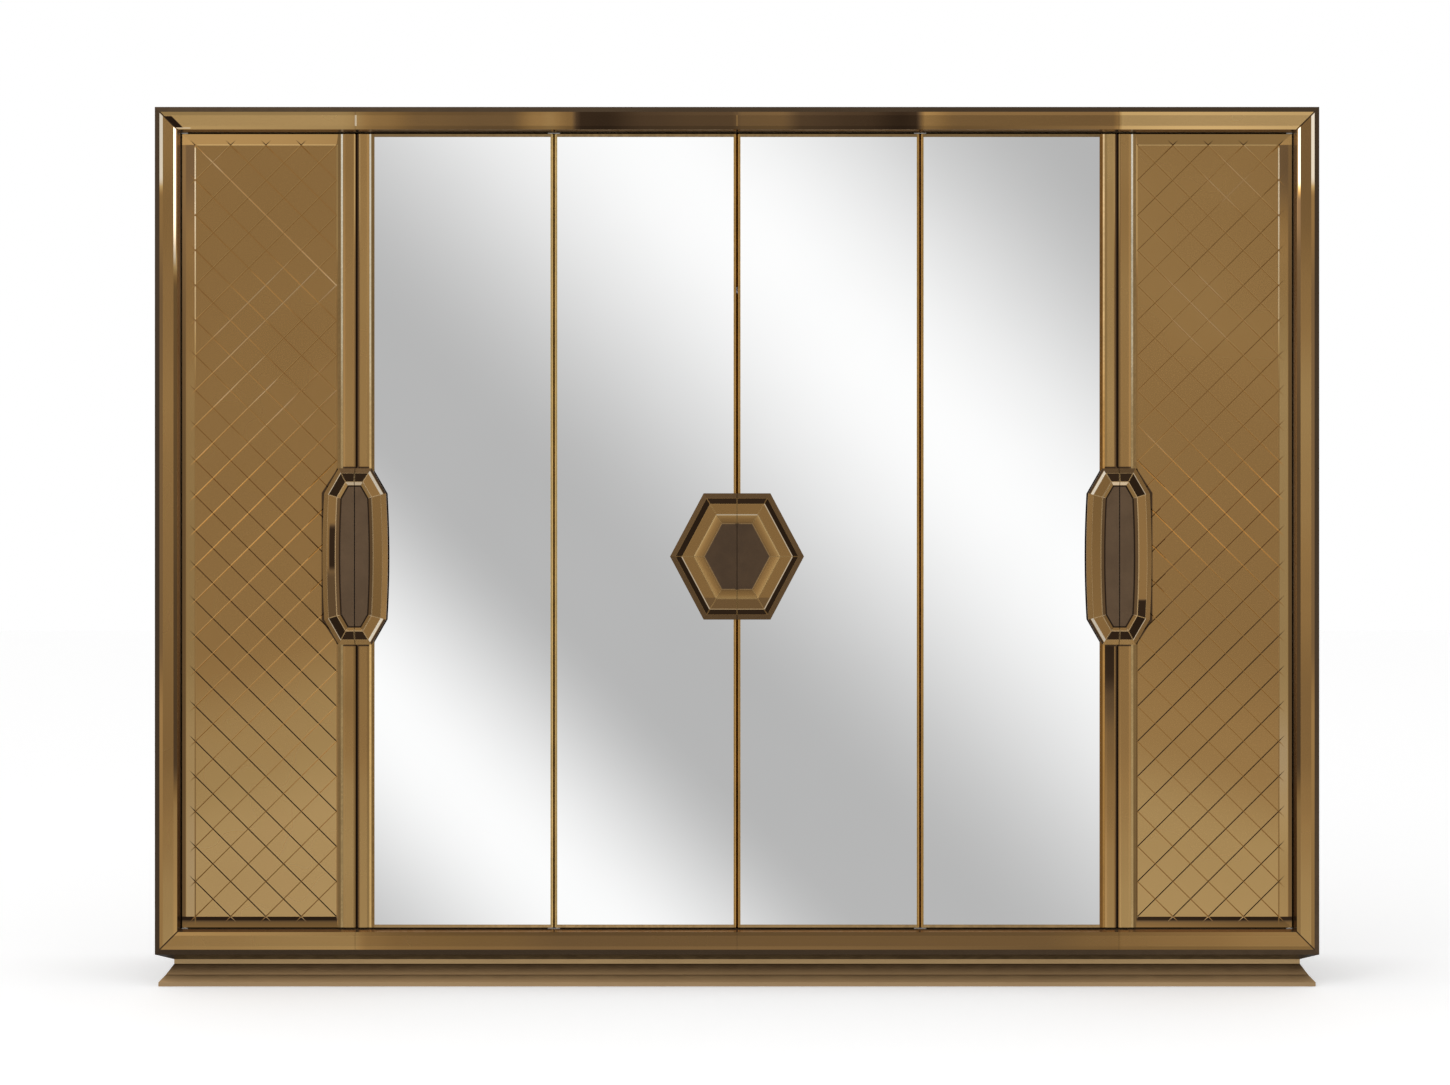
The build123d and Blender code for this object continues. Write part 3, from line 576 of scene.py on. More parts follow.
def cross_head():
    """A screw's domed head at the origin with its cross recess towards the rear."""
    bpy.ops.object.select_all(action="DESELECT")
    bpy.ops.mesh.primitive_cylinder_add(
        vertices=20, radius=head_radius, depth=head_height, rotation=(radians(-90), 0, 0)
    )
    head = bpy.context.active_object
    bpy.ops.object.transform_apply(location=True, rotation=True, scale=True)
    for part in (head.data.vertices, head.data.edges, head.data.polygons):
        part.foreach_set("select", [False] * len(part))
    for face in head.data.polygons:
        face.select = face.normal.y > 0.9
    bpy.context.tool_settings.mesh_select_mode = (False, False, True)
    bpy.ops.object.mode_set(mode="EDIT")
    bpy.ops.mesh.bevel(offset=0.0013, segments=3)
    bpy.ops.object.mode_set(mode="OBJECT")
    for wide, tall in ((0.0048, 0.0011), (0.0011, 0.0048)):
        bpy.ops.mesh.primitive_cube_add(size=1.0, location=(0, 0.0012, 0), scale=(wide, 0.0026, tall))
        cutter = bpy.context.active_object
        recess = head.modifiers.new("recess", "BOOLEAN")
        recess.operation = "DIFFERENCE"
        recess.object = cutter
        bpy.context.view_layer.objects.active = head
        bpy.ops.object.modifier_apply(modifier="recess")
        bpy.data.objects.remove(cutter)
    return head


back_low, back_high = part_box("back_panels")
edge_inset = 0.009  # from the panels' top and bottom edges
column_offset = 0.007  # from the middle of a partition's edge
row_count = 8
row_margin = 0.05  # from the top or bottom edge to the first row
row_span = back_high.z - back_low.z - 2 * row_margin
partition_low, partition_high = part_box("partition_right")
partition_x = (partition_low.x + partition_high.x) / 2
columns = [side * partition_x + offset for side in (-1, 1) for offset in (-column_offset, column_offset)]
rows = [back_low.z + row_margin + row_span * step / (row_count - 1) for step in range(row_count)]
places = [(column, row) for column in columns for row in rows]
for middle in (-1.0, 0.0, 1.0):
    for offset in (-0.42, -0.14, 0.14, 0.42):
        places += [(middle + offset, back_low.z + edge_inset), (middle + offset, back_high.z - edge_inset)]
head = cross_head()
heads = []
for place_x, place_z in places:
    screw = head.copy()
    screw.data = head.data.copy()
    screw.data.transform(Matrix.Translation((place_x, back_high.y + head_height / 2 - 0.0002, place_z)))
    bpy.context.scene.collection.objects.link(screw)
    heads.append(screw)
bpy.data.objects.remove(head)
bpy.ops.object.select_all(action="DESELECT")
for screw in heads:
    screw.select_set(True)
bpy.context.view_layer.objects.active = heads[0]
bpy.ops.object.join()
back_screws = bpy.context.active_object
back_screws.name = "back_screws"
back_screws.data.materials.clear()
back_screws.data.materials.append(steel)
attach(back_screws, "carcass")

# ---------------------------------------------------------------- door cores
# Boards in dark brown lacquer, which carry the glass on their fronts and turn on the pivots.

core_lacquer, tree, shader = new_finish("core_lacquer")
fine = use_group(tree, marks, Size=0.4)["Fine"]
figure = use_group(tree, grain, Along=(1.0, 1.0, 0.07))["Figure"]
color = mix_color(tree, times(tree, figure, 0.5), (0.052, 0.031, 0.018), (0.088, 0.054, 0.032))
tree.links.new(color, shader.inputs["Base Color"])
tree.links.new(rise(tree, fine, 0.0, 1.0, 0.3, 0.42), shader.inputs["Roughness"])
dress([f"door_{number}_core" for number in range(1, 7)], core_lacquer)

# ---------------------------------------------------------------- lattice glass
# Doors 1 and 6 carry one sheet of bronze mirror glass, cut with a lattice of V-grooves, with wide
# bevels all round, and a narrow bevelled strip beside the meeting edge.

hinge_bevel = 0.036
level_bevel = 0.030
# The gap between an end door and its neighbour, as distances from the armoire's middle.
strip_x = -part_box("door_2_strip_glass")[0].x
half_gap = (-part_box("door_1_lattice_glass")[1].x - strip_x) / 2
meeting_x = strip_x + half_gap

# The octagon pulls' outline, and its slanted sides' direction outwards and distance from the middle.
octagon_top = 0.090  # length of the short top and bottom sides
octagon_cut = 0.068  # height of the slanted corners
pull_low, pull_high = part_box("door_1_pull_body")
pull_middle = (pull_low.z + pull_high.z) / 2
half_height = (pull_high.z - pull_low.z) / 2
half_width = -pull_low.x - meeting_x
slant_out, slant_up = Vector((octagon_cut, half_width - octagon_top / 2)).normalized()
slant_reach = slant_out * octagon_top / 2 + slant_up * half_height

# Tones up the four strips, as painted reflections. Door 5's is darker just below its pull, in painted
# shade. The left-hand pair are lighter than their own stops, by one gain below the pull and another
# above it.
low_gain = 1.055
high_gain = 1.04
door_1_low_stops = [
    (0.1, 0.86), (0.24, 0.88), (0.35, 0.93), (0.51, 0.865), (0.675, 0.74), (0.784, 0.666),
    (0.892, 0.71),
]
door_1_high_stops = [(1.2, 0.76), (1.49, 0.80), (1.87, 0.75), (2.14, 0.71), (2.25, 0.67), (2.4, 0.66)]
door_2_low_stops = [
    (0.1, 0.92), (0.24, 0.89), (0.35, 0.88), (0.51, 0.83), (0.675, 0.71), (0.784, 0.70), (0.892, 0.69),
]
door_2_high_stops = [(1.2, 0.76), (1.49, 0.80), (2.14, 0.80), (2.25, 0.775), (2.4, 0.77)]
strip_stops = {
    1: lighter(door_1_low_stops, low_gain) + lighter(door_1_high_stops, high_gain),
    2: lighter(door_2_low_stops, low_gain) + lighter(door_2_high_stops, high_gain),
    5: [
        (0.1, 0.92), (0.24, 0.88), (0.35, 0.84), (0.51, 0.683), (0.675, 0.54), (0.784, 0.345),
        (0.86, 0.08), (0.95, 0.05), (1.4, 0.90), (1.6, 0.955), (1.87, 0.92), (2.14, 0.92), (2.25, 1.0),
        (2.4, 1.0),
    ],
    6: [
        (0.1, 0.99), (0.24, 0.97), (0.35, 0.91), (0.51, 0.834), (0.675, 0.725), (0.784, 0.70),
        (0.892, 0.69), (1.2, 0.74), (1.49, 0.775), (1.6, 0.81), (1.87, 0.845), (2.14, 0.77),
        (2.25, 0.82), (2.4, 0.82),
    ],
}


def beside_pull(tree, x, z, tone):
    """Tone of the glass darkened in a thin line round an octagon pull, where its rim shades it."""
    across = size_of(tree, minus(tree, size_of(tree, x), meeting_x))
    along = size_of(tree, minus(tree, z, pull_middle))
    outside = math(tree, "MAXIMUM", minus(tree, across, half_width), minus(tree, along, half_height))
    slanted = math(tree, "MULTIPLY_ADD", along, slant_up, -slant_reach)
    slanted = math(tree, "MULTIPLY_ADD", across, slant_out, slanted)
    outside = math(tree, "MAXIMUM", outside, slanted)
    return lay(tree, rise(tree, outside, 0.0065, 0.0035), tone, 0.16)


def strip_edges(tree, x, z, tone):
    """Strips' tone with their bevels beside the gap: painted shade outside, a painted glint inside high up.

    The bevels' tones are laid out from a line that lies half a gap inside the mirror door's strip.
    """
    inset = minus(tree, size_of(tree, x), strip_x)
    inset = minus(tree, size_of(tree, math(tree, "ADD", inset, half_gap)), half_gap)
    bevel_tone = span(tree, z, [(0.1, 0.66), (1.9, 0.50), (2.3, 0.58)])
    tone = lay(tree, rise(tree, inset, 0.0065, 0.0055), tone, bevel_tone)
    lit = times(tree, between(tree, inset, 0.0040, 0.0072, 0.0012), rise(tree, z, 1.95, 2.15))
    tone = lay(tree, lit, tone, 1.15)
    return lay(tree, rise(tree, inset, 0.0026, 0.0018), tone, 0.05)


# Tones up the lattice panels, as painted reflections. Their stops lie lower towards the hinge side.
panel_stops = {
    1: [(0.1, 1.10), (0.6, 1.10), (0.85, 1.09), (1.1, 0.97), (1.45, 0.75), (1.9, 0.725), (3.0, 0.705)],
    6: [
        (0.1, 1.06), (0.6, 1.05), (0.85, 1.01), (1.1, 0.83), (1.45, 0.71), (1.85, 0.73), (2.3, 0.81),
        (3.0, 0.81),
    ],
}
# Tones up the hinge side's bevel, in painted light and shade: lighter low down, dark at the top.
hinge_stops = {
    1: [
        (0.1, 1.18), (0.29, 1.20), (0.62, 1.15), (0.95, 0.95), (1.27, 0.95), (1.6, 0.90), (1.98, 0.61),
        (2.25, 0.37),
    ],
    6: [
        (0.1, 0.95), (0.29, 0.96), (0.5, 1.18), (0.62, 1.22), (0.95, 1.08), (1.6, 1.09), (1.98, 0.83),
        (2.25, 0.39),
    ],
}
for number, outward in ((1, -1.0), (6, 1.0)):
    lattice, tree, faces, place, set_tone = bronze_glass(f"door_{number}_lattice")
    x, _, z = place
    low_corner, high_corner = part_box(f"door_{number}_lattice_glass")
    bead_low, bead_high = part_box(f"door_{number}_bead")
    hinge_x = low_corner.x if outward < 0 else high_corner.x
    panel_width = bead_low.x - hinge_x if outward < 0 else hinge_x - bead_high.x
    from_hinge = size_of(tree, minus(tree, x, hinge_x))
    from_top = minus(tree, high_corner.z, z)
    from_bottom = minus(tree, z, low_corner.z)
    on_panel = rise(tree, from_hinge, panel_width + 0.001, panel_width)
    leaning_z = math(tree, "MULTIPLY_ADD", x, 0.35 * outward, z)
    panel_tone = span(tree, leaning_z, panel_stops[number])
    # The hinge side's bevel carries painted shade along its edge. The top bevel is painted lighter
    # than the panel, and the bottom one carries painted shade along its upper edge.
    groove = rise(tree, faces["Front"], 0.86, 0.82)
    in_top = times(tree, on_panel, rise(tree, from_top, level_bevel, level_bevel - 0.001))
    in_bottom = times(tree, on_panel, rise(tree, from_bottom, level_bevel, level_bevel - 0.001))
    in_hinge = rise(tree, from_hinge, hinge_bevel, hinge_bevel - 0.001)
    panel_tone = lay(tree, in_hinge, panel_tone, span(tree, z, hinge_stops[number]))
    panel_tone = lay(tree, rise(tree, from_hinge, 0.012, 0.008), panel_tone, 0.50)
    # The bevel beside the bead carries a painted highlight high up and is darker below.
    bead_side = times(tree, on_panel, rise(tree, from_hinge, panel_width - 0.0042, panel_width - 0.0038))
    bead_side_tone = span(tree, z, [(0.1, 0.46), (1.90, 0.48), (2.05, 0.95), (2.3, 0.95)])
    panel_tone = lay(tree, bead_side, panel_tone, bead_side_tone)
    panel_tone = lay(tree, in_top, panel_tone, 0.84)
    bottom_stops = [(0.0, 0.62), (0.012, 0.56), (0.0175, 0.40), (0.0205, 0.06), (level_bevel, 0.03)]
    panel_tone = lay(tree, in_bottom, panel_tone, span(tree, from_bottom, bottom_stops))
    # Painted highlights on the edges of the upright bevel and the top one, bright where they are high.
    upright_edge = between(tree, from_hinge, hinge_bevel - 0.0022, hinge_bevel + 0.0022, 0.0010)
    upright_edge = times(tree, upright_edge, rise(tree, from_top, level_bevel, level_bevel + 0.01))
    edge_tone = span(tree, z, [(0.1, 0.6), (0.9, 0.80), (1.6, 0.76), (1.84, 1.25), (2.15, 1.45), (2.3, 1.4)])
    panel_tone = lay(tree, upright_edge, panel_tone, edge_tone)
    level_edge = between(tree, from_top, level_bevel - 0.0020, level_bevel + 0.0020, 0.0010)
    level_edge = times(tree, level_edge, rise(tree, from_hinge, hinge_bevel, hinge_bevel + 0.01))
    panel_tone = lay(tree, times(tree, level_edge, on_panel), panel_tone, 1.15)
    # Cut grooves, with painted shade and light. Those that fall away from the hinge side carry
    # painted shade low down. Higher up all are painted faint and light, with painted glints clearest
    # along the cut that leaves the top corner and here and there elsewhere.
    slope = times(tree, times(tree, faces["Right"], faces["Up"]), -outward)
    shaded_groove = times(tree, groove, rise(tree, slope, -0.05, 0.05))
    patch_inputs = {"Vector": node(tree, "TexCoord").outputs["Object"], "Scale": 4.0}
    patch = node(tree, "TexNoise", patch_inputs).outputs[0]
    glint = rise(tree, patch, 0.52, 0.66, 0.0, 0.20)
    diagonal = minus(tree, from_top, from_hinge)
    corner_cut = times(tree, rise(tree, size_of(tree, diagonal), 0.06, 0.02), 0.25)
    corner_cut = times(tree, corner_cut, rise(tree, from_top, 0.6, 0.3, 0.0, 1.0 if number == 1 else 0.4))
    high = rise(tree, z, 1.15, 1.5)
    glint = times(tree, glint, times(tree, high, 1.0 if number == 1 else 0.7))
    light_stops = [
        (0.1, 0.96), (0.45, 1.02), (0.7, 1.06), (1.15, 1.07), (1.5, 1.08), (1.9, 1.08), (2.3, 1.08),
    ]
    light_tone = span(tree, z, light_stops)
    shaded_groove_tone = span(tree, z, [(0.1, 0.14), (0.85, 0.22), (1.15, 0.56), (1.5, 0.90), (2.3, 0.98)])
    shaded_groove_tone = math(tree, "ADD", shaded_groove_tone, corner_cut)
    tone = lay(tree, groove, panel_tone, math(tree, "ADD", light_tone, glint))
    tone = lay(tree, shaded_groove, tone, math(tree, "ADD", shaded_groove_tone, glint))
    # Where the grooves cross the bottom bevel they carry painted glints, and the top one painted shade.
    tone = lay(tree, times(tree, groove, in_bottom), tone, 1.25)
    tone = lay(tree, times(tree, groove, in_top), tone, 0.34)
    tone = lay(tree, on_panel, span(tree, z, strip_stops[number]), tone)
    set_tone(beside_pull(tree, x, z, strip_edges(tree, x, z, tone)))
    dress([f"door_{number}_lattice_glass"], lattice)

# ---------------------------------------------------------------- strips, beads and trims
# Narrow bevelled strips of bronze glass beside the end doors, brass beads between the glasses, and
# brass trims with a rounded nose that wrap the edges of the mirror doors.

for number in (2, 5):
    strip_glass, tree, _, place, set_tone = bronze_glass(f"door_{number}_strip")
    x, _, z = place
    set_tone(beside_pull(tree, x, z, strip_edges(tree, x, z, span(tree, z, strip_stops[number]))))
    dress([f"door_{number}_strip_glass"], strip_glass)


def brass(name, names):
    """Satin polished brass on some CAD nodes; returns what its section needs to vary its tone."""
    made, tree, shader = new_finish(name, metallic=1.0)
    cloud, fine = use_group(tree, marks, Size=0.12)
    texture = node(tree, "TexCoord").outputs
    lean = node(tree, "SeparateXYZ", {0: texture["Normal"]}).outputs
    place = node(tree, "SeparateXYZ", {0: texture["Object"]}).outputs
    tree.links.new(rise(tree, fine, 0.0, 1.0, 0.12, 0.24), shader.inputs["Roughness"])
    dress(names, made)

    def set_tone(tone):
        tone = mix_color(tree, times(tree, cloud, 0.15), tone, (0.10, 0.065, 0.03))
        tree.links.new(tone, shader.inputs["Base Color"])

    return tree, lean, place, set_tone


tree, lean, _, set_tone = brass("bush_brass", [name for name in cad if name.endswith("_bushes")])
# The bushes are painted lighter on faces that look up and darker on those that look down, as light falls.
set_tone(ramp(tree, rise(tree, lean[2], -1.0, 1.0), [(0.0, (0.44, 0.29, 0.13)), (1.0, (0.55, 0.40, 0.22))]))

bead_width = 0.014


def bead_tone(tree, across, z):
    """Tone of a bead: a painted highlight near the strip, fading low down, painted shade on the other slope.
    """
    shade_stops = [
        (0.0, (0.38, 0.245, 0.10)),
        (0.0012, (0.43, 0.28, 0.115)),
        (0.0070, (0.38, 0.245, 0.10)),
        (0.0078, (0.26, 0.155, 0.058)),
        (0.0125, (0.26, 0.155, 0.058)),
        (bead_width, (0.35, 0.225, 0.09)),
    ]
    line_stops = [
        (0.2, (0.60, 0.41, 0.18)),
        (1.5, (0.64, 0.44, 0.20)),
        (1.85, (0.88, 0.76, 0.54)),
        (2.3, (1.0, 0.92, 0.76)),
    ]
    shade = span(tree, across, shade_stops)
    line = between(tree, across, 0.0004, 0.0060, 0.0010)
    return mix_color(tree, line, shade, span(tree, z, line_stops))


# The mirrors' trims, in painted light and shade: brown brass uprights, lightest at the sides of the
# nose, and duller rails, lighter low down. The pair of noses between doors 2 and 3 carry brighter
# painted highlights than the others.
left_joint_x = (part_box("door_2_trim")[1].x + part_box("door_3_trim")[0].x) / 2
left_joint_reach = 0.040
nose_stops = [
    (0.0, (0.34, 0.19, 0.055)),
    (0.35, (0.53, 0.31, 0.095)),
    (0.75, (0.71, 0.44, 0.155)),
    (1.0, (0.78, 0.51, 0.21)),
]
left_nose_stops = [
    (0.0, (0.44, 0.295, 0.112)),
    (0.35, (0.70, 0.48, 0.20)),
    (0.75, (0.93, 0.70, 0.32)),
    (1.0, (1.0, 0.80, 0.43)),
]
bead_light_tints = {2: (1.35, 1.28, 1.12), 5: (0.92, 0.72, 0.47)}
lower_rail_tone = (0.48, 0.31, 0.14)
upper_rail_tone = (0.29, 0.185, 0.08)
for number in (2, 3, 4, 5):
    tree, lean, place, set_tone = brass(f"door_{number}_trim_brass", [f"door_{number}_trim"])
    mirror_low, mirror_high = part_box(f"door_{number}_mirror")
    tone = ramp(tree, size_of(tree, lean[0]), nose_stops)
    above_mirror = minus(tree, place[2], mirror_high.z)
    past_mirror = math(tree, "MAXIMUM", above_mirror, minus(tree, mirror_low.z, place[2]))
    within = between(tree, place[0], mirror_low.x - 0.0001, mirror_high.x + 0.0001, 0.0001)
    rail = times(tree, rise(tree, past_mirror, -0.0001, 0.0), within)
    from_joint = size_of(tree, math(tree, "ADD", place[0], -left_joint_x))
    left_nose = ramp(tree, size_of(tree, lean[0]), left_nose_stops)
    at_joint = rise(tree, from_joint, left_joint_reach, left_joint_reach - 0.005)
    tone = mix_color(tree, at_joint, tone, left_nose)
    rail_tone = mix_color(tree, rise(tree, place[2], 1.0, 1.4), lower_rail_tone, upper_rail_tone)
    tone = mix_color(tree, rail, tone, rail_tone)
    if number in (2, 5):
        # The bead beside the strip, as on doors 1 and 6, its painted light made brighter low down on
        # door 2 and duller on door 5.
        bead_start = mirror_low.x if number == 2 else mirror_high.x
        across = size_of(tree, minus(tree, place[0], bead_start))
        on_bead = rise(tree, across, bead_width + 0.001, bead_width)
        beyond = minus(tree, place[0], bead_start)
        beyond = times(tree, beyond, -1.0 if number == 2 else 1.0)
        on_bead = times(tree, on_bead, rise(tree, beyond, -0.0001, 0.0))
        beside = bead_tone(tree, minus(tree, bead_width, across), place[2])
        tinted = rise(tree, place[2], 1.6, 1.3) if number == 2 else 1.0
        beside = mix_color(tree, tinted, beside, bead_light_tints[number], "MULTIPLY")
        tone = mix_color(tree, on_bead, tone, beside)
    set_tone(tone)
for number in (1, 6):
    tree, _, place, set_tone = brass(f"door_{number}_bead_brass", [f"door_{number}_bead"])
    low_corner, high_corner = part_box(f"door_{number}_bead")
    strip_side = high_corner.x if number == 1 else low_corner.x
    set_tone(bead_tone(tree, size_of(tree, minus(tree, place[0], strip_side)), place[2]))

# ---------------------------------------------------------------- silver mirrors
# Doors 2 to 5 carry clear silvered mirror glass with a polished arris, glued to the core inside the
# brass trim.

silver, tree, shader = new_finish("silver_mirror", metallic=1.0)
cloud, fine = use_group(tree, marks, Size=0.6)
# Where two open doors' mirrors face each other, the endless reflections end in a plain grey, a
# painted glow that the mirror gives off there.
repeated = math(tree, "GREATER_THAN", node(tree, "LightPath").outputs["Ray Depth"], 2.5)
shader.inputs["Emission Strength"].default_value = 1.0
painted_grey_glow = mix_color(tree, repeated, (0.0, 0.0, 0.0), (0.42, 0.41, 0.40))
tree.links.new(painted_grey_glow, shader.inputs["Emission Color"])
color = mix_color(tree, cloud, (0.968, 0.972, 0.972), (0.985, 0.988, 0.988))
tree.links.new(mix_color(tree, repeated, color, (0.0, 0.0, 0.0)), shader.inputs["Base Color"])
tree.links.new(rise(tree, fine, 0.0, 1.0, 0.0, 0.012), shader.inputs["Roughness"])
dress([f"door_{number}_mirror" for number in range(2, 6)], silver)

# ---------------------------------------------------------------- octagon pulls
# Split faceted pulls on the end doors' meeting lines: a lacquered body with an overhanging rim, and
# panes of bronze glass round its crest and down its dish. Their plaques are plain and unmarked.

glass_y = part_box("door_1_lattice_glass")[0].y

# Edges where panes meet, 1 on the edge itself, for painted highlights and painted shade laid along
# them.
arris, starts, ends = new_group("arris", [("Width", "Float", 0.001)], [("Edge", "Float")])
rounded = node(arris, "Bevel", {"Radius": starts["Width"]}, samples=8).outputs[0]
true_normal = node(arris, "NewGeometry").outputs["True Normal"]
agreement = lean_along(arris, rounded, true_normal)
arris.links.new(rise(arris, agreement, 0.9995, 0.993), ends["Edge"])


def in_front(tree, y):
    """How far a point stands in front of the doors' glass."""
    return math(tree, "MULTIPLY_ADD", y, -1.0, glass_y)


def pull_rim(name, stops):
    """Polished lacquer of a pull's body, with painted light and shade on faces looking down, sideways, up.
    """
    made, tree, shader = new_finish(name, metallic=0.9)
    cloud, fine = use_group(tree, marks, Size=0.08)
    faces = use_group(tree, facing)
    tone = span(tree, faces["Up"], stops)
    tree.links.new(rise(tree, fine, 0.0, 1.0, 0.22, 0.30), shader.inputs["Roughness"])
    # Behind the rim it is dark with painted shade.
    depth = in_front(tree, axes(tree, "Object")[1])

    def set_tone(tone):
        tone = lay(tree, rise(tree, depth, 0.0185, 0.0170), tone, 0.06)
        color = use_group(tree, bronze_tone, Tone=tone, Cloud=cloud)["Color"]
        tree.links.new(color, shader.inputs["Base Color"])

    return made, tree, faces, depth, tone, set_tone


for side, outward, doors in (("left", -1.0, (1, 2)), ("right", 1.0, (5, 6))):
    rim, tree, faces, depth, tone, set_tone = pull_rim(
        f"{side}_pull_rim", [(-0.4, 0.84), (-0.1, 0.74), (0.1, 0.70), (0.3, 0.50), (0.45, 0.40)]
    )
    # The slanted corners carry a painted white highlight along the glass. Beside the mirror they are
    # dark along the outline, in painted shade.
    lattice_side = times(tree, faces["Right"], outward)
    slanted = between(tree, size_of(tree, faces["Up"]), 0.12, 0.40, 0.06)
    beside_mirror = times(tree, slanted, rise(tree, lattice_side, -0.1, -0.2))
    beside_lattice = times(tree, slanted, rise(tree, lattice_side, 0.1, 0.2))
    mirror_tone = span(tree, depth, [(0.019, 0.22), (0.0225, 0.24), (0.024, 1.6), (0.028, 1.6)])
    tone = lay(tree, beside_mirror, tone, mirror_tone)
    lattice_tone = span(tree, depth, [(0.019, 0.66), (0.0262, 0.70), (0.027, 1.5), (0.028, 1.5)])
    tone = lay(tree, beside_lattice, tone, lattice_tone)
    set_tone(tone)
    dress([f"door_{number}_pull_body" for number in doors], rim)

    panes, tree, faces, place, set_tone = bronze_glass(f"{side}_pull_glass", 0.12, 0.20)
    steep = size_of(tree, faces["Up"])
    lattice_side = times(tree, faces["Right"], outward)
    level = minus(tree, place[2], pull_middle)
    # Panes that lie in painted shade: the top and bottom ones and the slanted ones beside the lattice.
    # The long pane beside the lattice has a dark streak of painted shade, at half height and clouded
    # below it on the left pull, and low down on the right one.
    shaded = rise(tree, steep, 0.20, 0.25)
    slanted = times(tree, rise(tree, steep, 0.07, 0.1), rise(tree, lattice_side, 0.1, 0.15))
    shaded = math(tree, "MAXIMUM", shaded, slanted)
    tone = lay(tree, shaded, 0.62, 0.06)
    long_pane = times(tree, rise(tree, steep, 0.07, 0.05), rise(tree, lattice_side, 0.1, 0.15))
    depth = in_front(tree, place[1])
    if side == "left":
        streak = times(tree, rise(tree, depth, 0.0315, 0.033), between(tree, level, -0.045, 0.095, 0.022))
        tone = lay(tree, times(tree, long_pane, rise(tree, level, -0.02, -0.06)), tone, 0.34)
    else:
        streak = rise(tree, level, -0.114, -0.122)
    tone = lay(tree, times(tree, long_pane, streak), tone, 0.05)
    # The dish is painted by how its panes face: grey-brown at the sides, and in painted light bright
    # at the top and a little less so at the bottom.
    dish = rise(tree, faces["Front"], 0.93, 0.915)
    dish_stops = [
        (-0.45, 1.35), (-0.32, 1.25), (-0.22, 0.86), (-0.1, 0.34), (0.1, 0.34), (0.22, 0.62),
        (0.45, 0.70),
    ]
    tone = lay(tree, dish, tone, span(tree, faces["Up"], dish_stops))
    # Painted highlights along the panes' edges, except deep in the dish.
    edge = use_group(tree, arris, Width=0.0012)["Edge"]
    deep_dish = times(tree, dish, rise(tree, depth, 0.0360, 0.0350))
    edge = times(tree, edge, rise(tree, deep_dish, 0.9, 0.0, 0.0, 0.9))
    tone = lay(tree, edge, tone, 1.3)
    # Painted shade where the dish meets the plaque.
    set_tone(lay(tree, times(tree, dish, rise(tree, depth, 0.0340, 0.0334)), tone, 0.04))
    dress([f"door_{number}_pull_glass" for number in doors], panes)

# ---------------------------------------------------------------- hexagon pull
# The pull on the middle doors' meeting line, made like the others, with a flat amber ring between
# its rim panes, painted dark as shade, and its lighter dish, in painted light.

rim, *_, tone, set_tone = pull_rim(
    "hexagon_pull_rim", [(-0.5, 0.36), (-0.25, 0.39), (0.0, 0.43), (0.25, 0.43), (0.5, 0.36)]
)
set_tone(tone)
dress(["door_3_pull_body", "door_4_pull_body"], rim)

hexagon_glass, tree, faces, place, set_tone = bronze_glass("hexagon_pull_glass", 0.22, 0.22)
hexagon_low, hexagon_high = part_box("door_3_pull_glass")
level = minus(tree, place[2], (hexagon_low.z + hexagon_high.z) / 2)
rim_pane = rise(tree, faces["Front"], 0.93, 0.91)
dish_pane = rise(tree, faces["Front"], 0.9925, 0.9885)
# The ring's bottom length is browner, and the dish carries painted light, brightest along its
# outer edge.
ring_tone = lay(tree, rise(tree, level, -0.111, -0.1125), 0.64, 0.46)
depth = in_front(tree, place[1])
dish_tone = span(tree, depth, [(0.033, 0.50), (0.0345, 0.66), (0.0375, 0.90), (0.038, 1.15)])
tone = lay(tree, dish_pane, ring_tone, dish_tone)
tone = lay(tree, rim_pane, tone, 0.06)
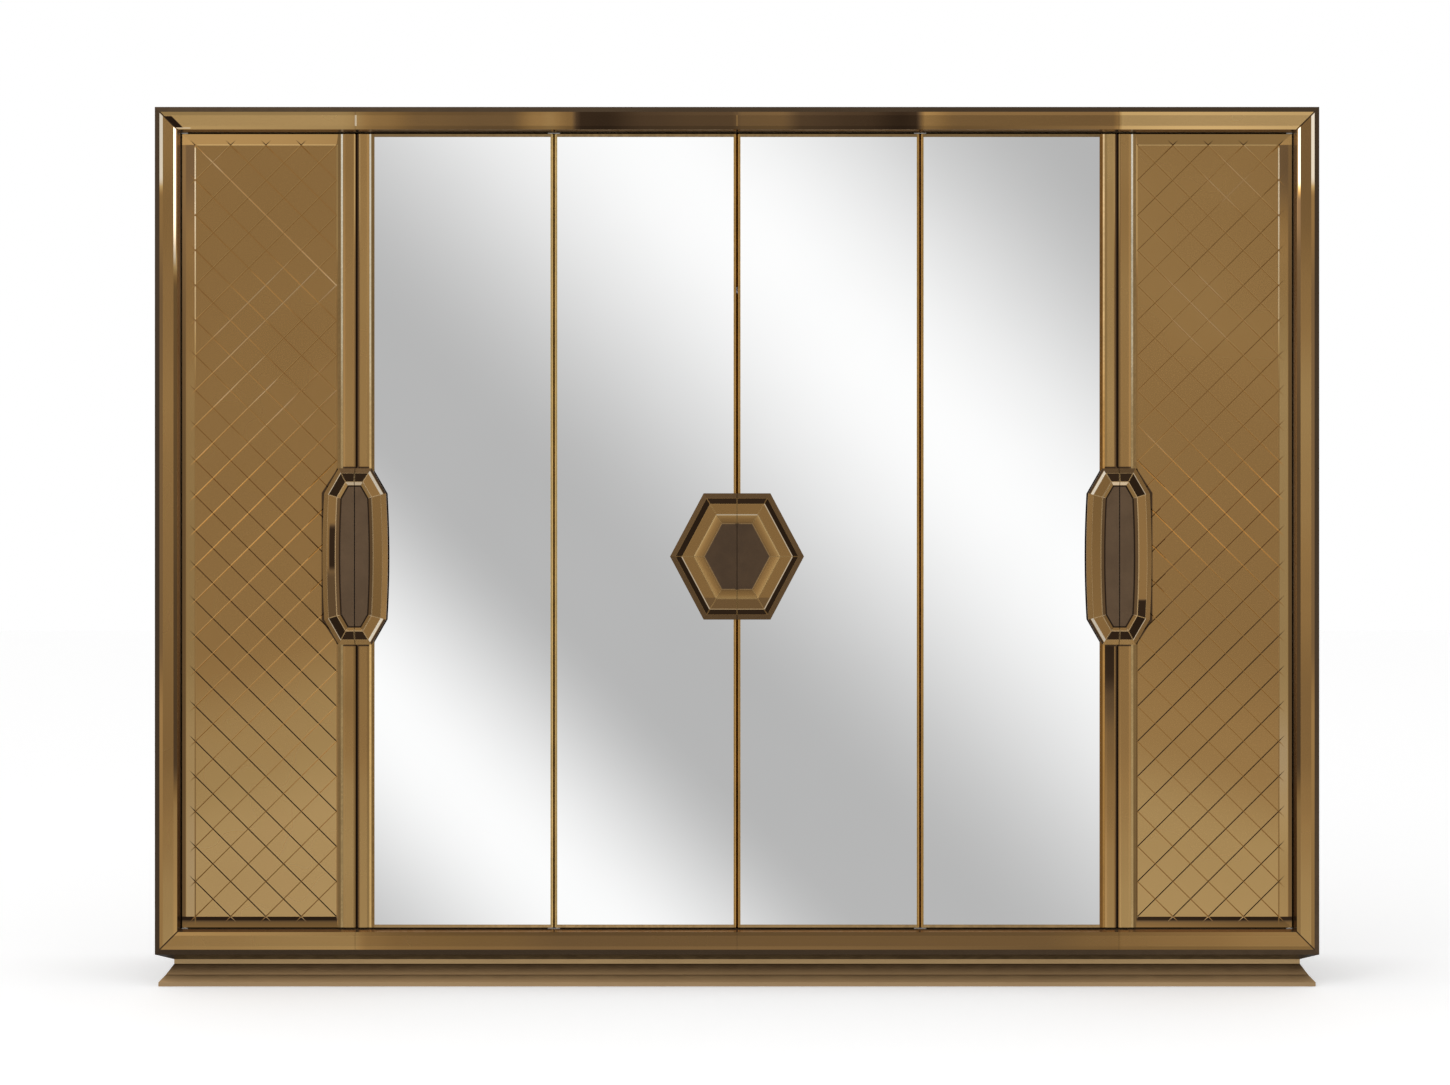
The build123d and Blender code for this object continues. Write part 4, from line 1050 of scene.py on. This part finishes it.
# Light on the inner borders of three dark panes, and on the upper edge of the dish.
lit_right = rise(tree, faces["Right"], 0.1, 0.2)
lit_left = times(tree, rise(tree, faces["Right"], -0.1, -0.2), rise(tree, faces["Up"], -0.02, -0.1))
lit = times(tree, math(tree, "MAXIMUM", lit_right, lit_left), rim_pane)
tone = lay(tree, times(tree, lit, rise(tree, depth, 0.0364, 0.0370)), tone, 1.5)
# Painted highlights along the panes' edges.
edge = use_group(tree, arris, Width=0.0013)["Edge"]
tone = lay(tree, times(tree, edge, 0.75), tone, 1.1)
upper_edge = times(tree, rise(tree, faces["Up"], -0.08, -0.11), rise(tree, depth, 0.0371, 0.0375))
set_tone(lay(tree, times(tree, times(tree, upper_edge, dish_pane), 0.8), tone, 1.5))
dress(["door_3_pull_glass", "door_4_pull_glass"], hexagon_glass)

# ---------------------------------------------------------------- plaques
# Plain lacquered plaques in the middle of the pulls, glued into the dish. The octagons' carry painted
# shade along their edges and the hexagon's painted highlights.


def plaque_lacquer(name, dark, light, edge_color, edge_width, doors):
    """Dull bronze-brown lacquer for the plaques of some doors' pulls."""
    made, tree, shader = new_finish(name)
    cloud, fine = use_group(tree, marks, Size=0.05)
    edge = use_group(tree, arris, Width=edge_width)["Edge"]
    # The doors' gap through the hexagon's plaque isn't one of its edges.
    from_gap = size_of(tree, axes(tree, "Object")[0])
    edge = times(tree, edge, rise(tree, from_gap, 0.004, 0.008))
    color = mix_color(tree, cloud, dark, light)
    color = mix_color(tree, times(tree, edge, 0.8), color, edge_color)
    tree.links.new(color, shader.inputs["Base Color"])
    tree.links.new(rise(tree, fine, 0.0, 1.0, 0.42, 0.55), shader.inputs["Roughness"])
    shader.inputs["Specular IOR Level"].default_value = 0.22
    dress([f"door_{number}_pull_plaque" for number in doors], made)


plaque_lacquer(
    "octagon_plaque",
    dark=(0.090, 0.053, 0.026),
    light=(0.104, 0.062, 0.031),
    edge_color=(0.012, 0.008, 0.005),
    edge_width=0.0016,
    doors=(1, 2, 5, 6),
)
plaque_lacquer(
    "hexagon_plaque",
    dark=(0.056, 0.031, 0.014),
    light=(0.068, 0.038, 0.017),
    edge_color=(0.20, 0.12, 0.05),
    edge_width=0.0040,
    doors=(3, 4),
)
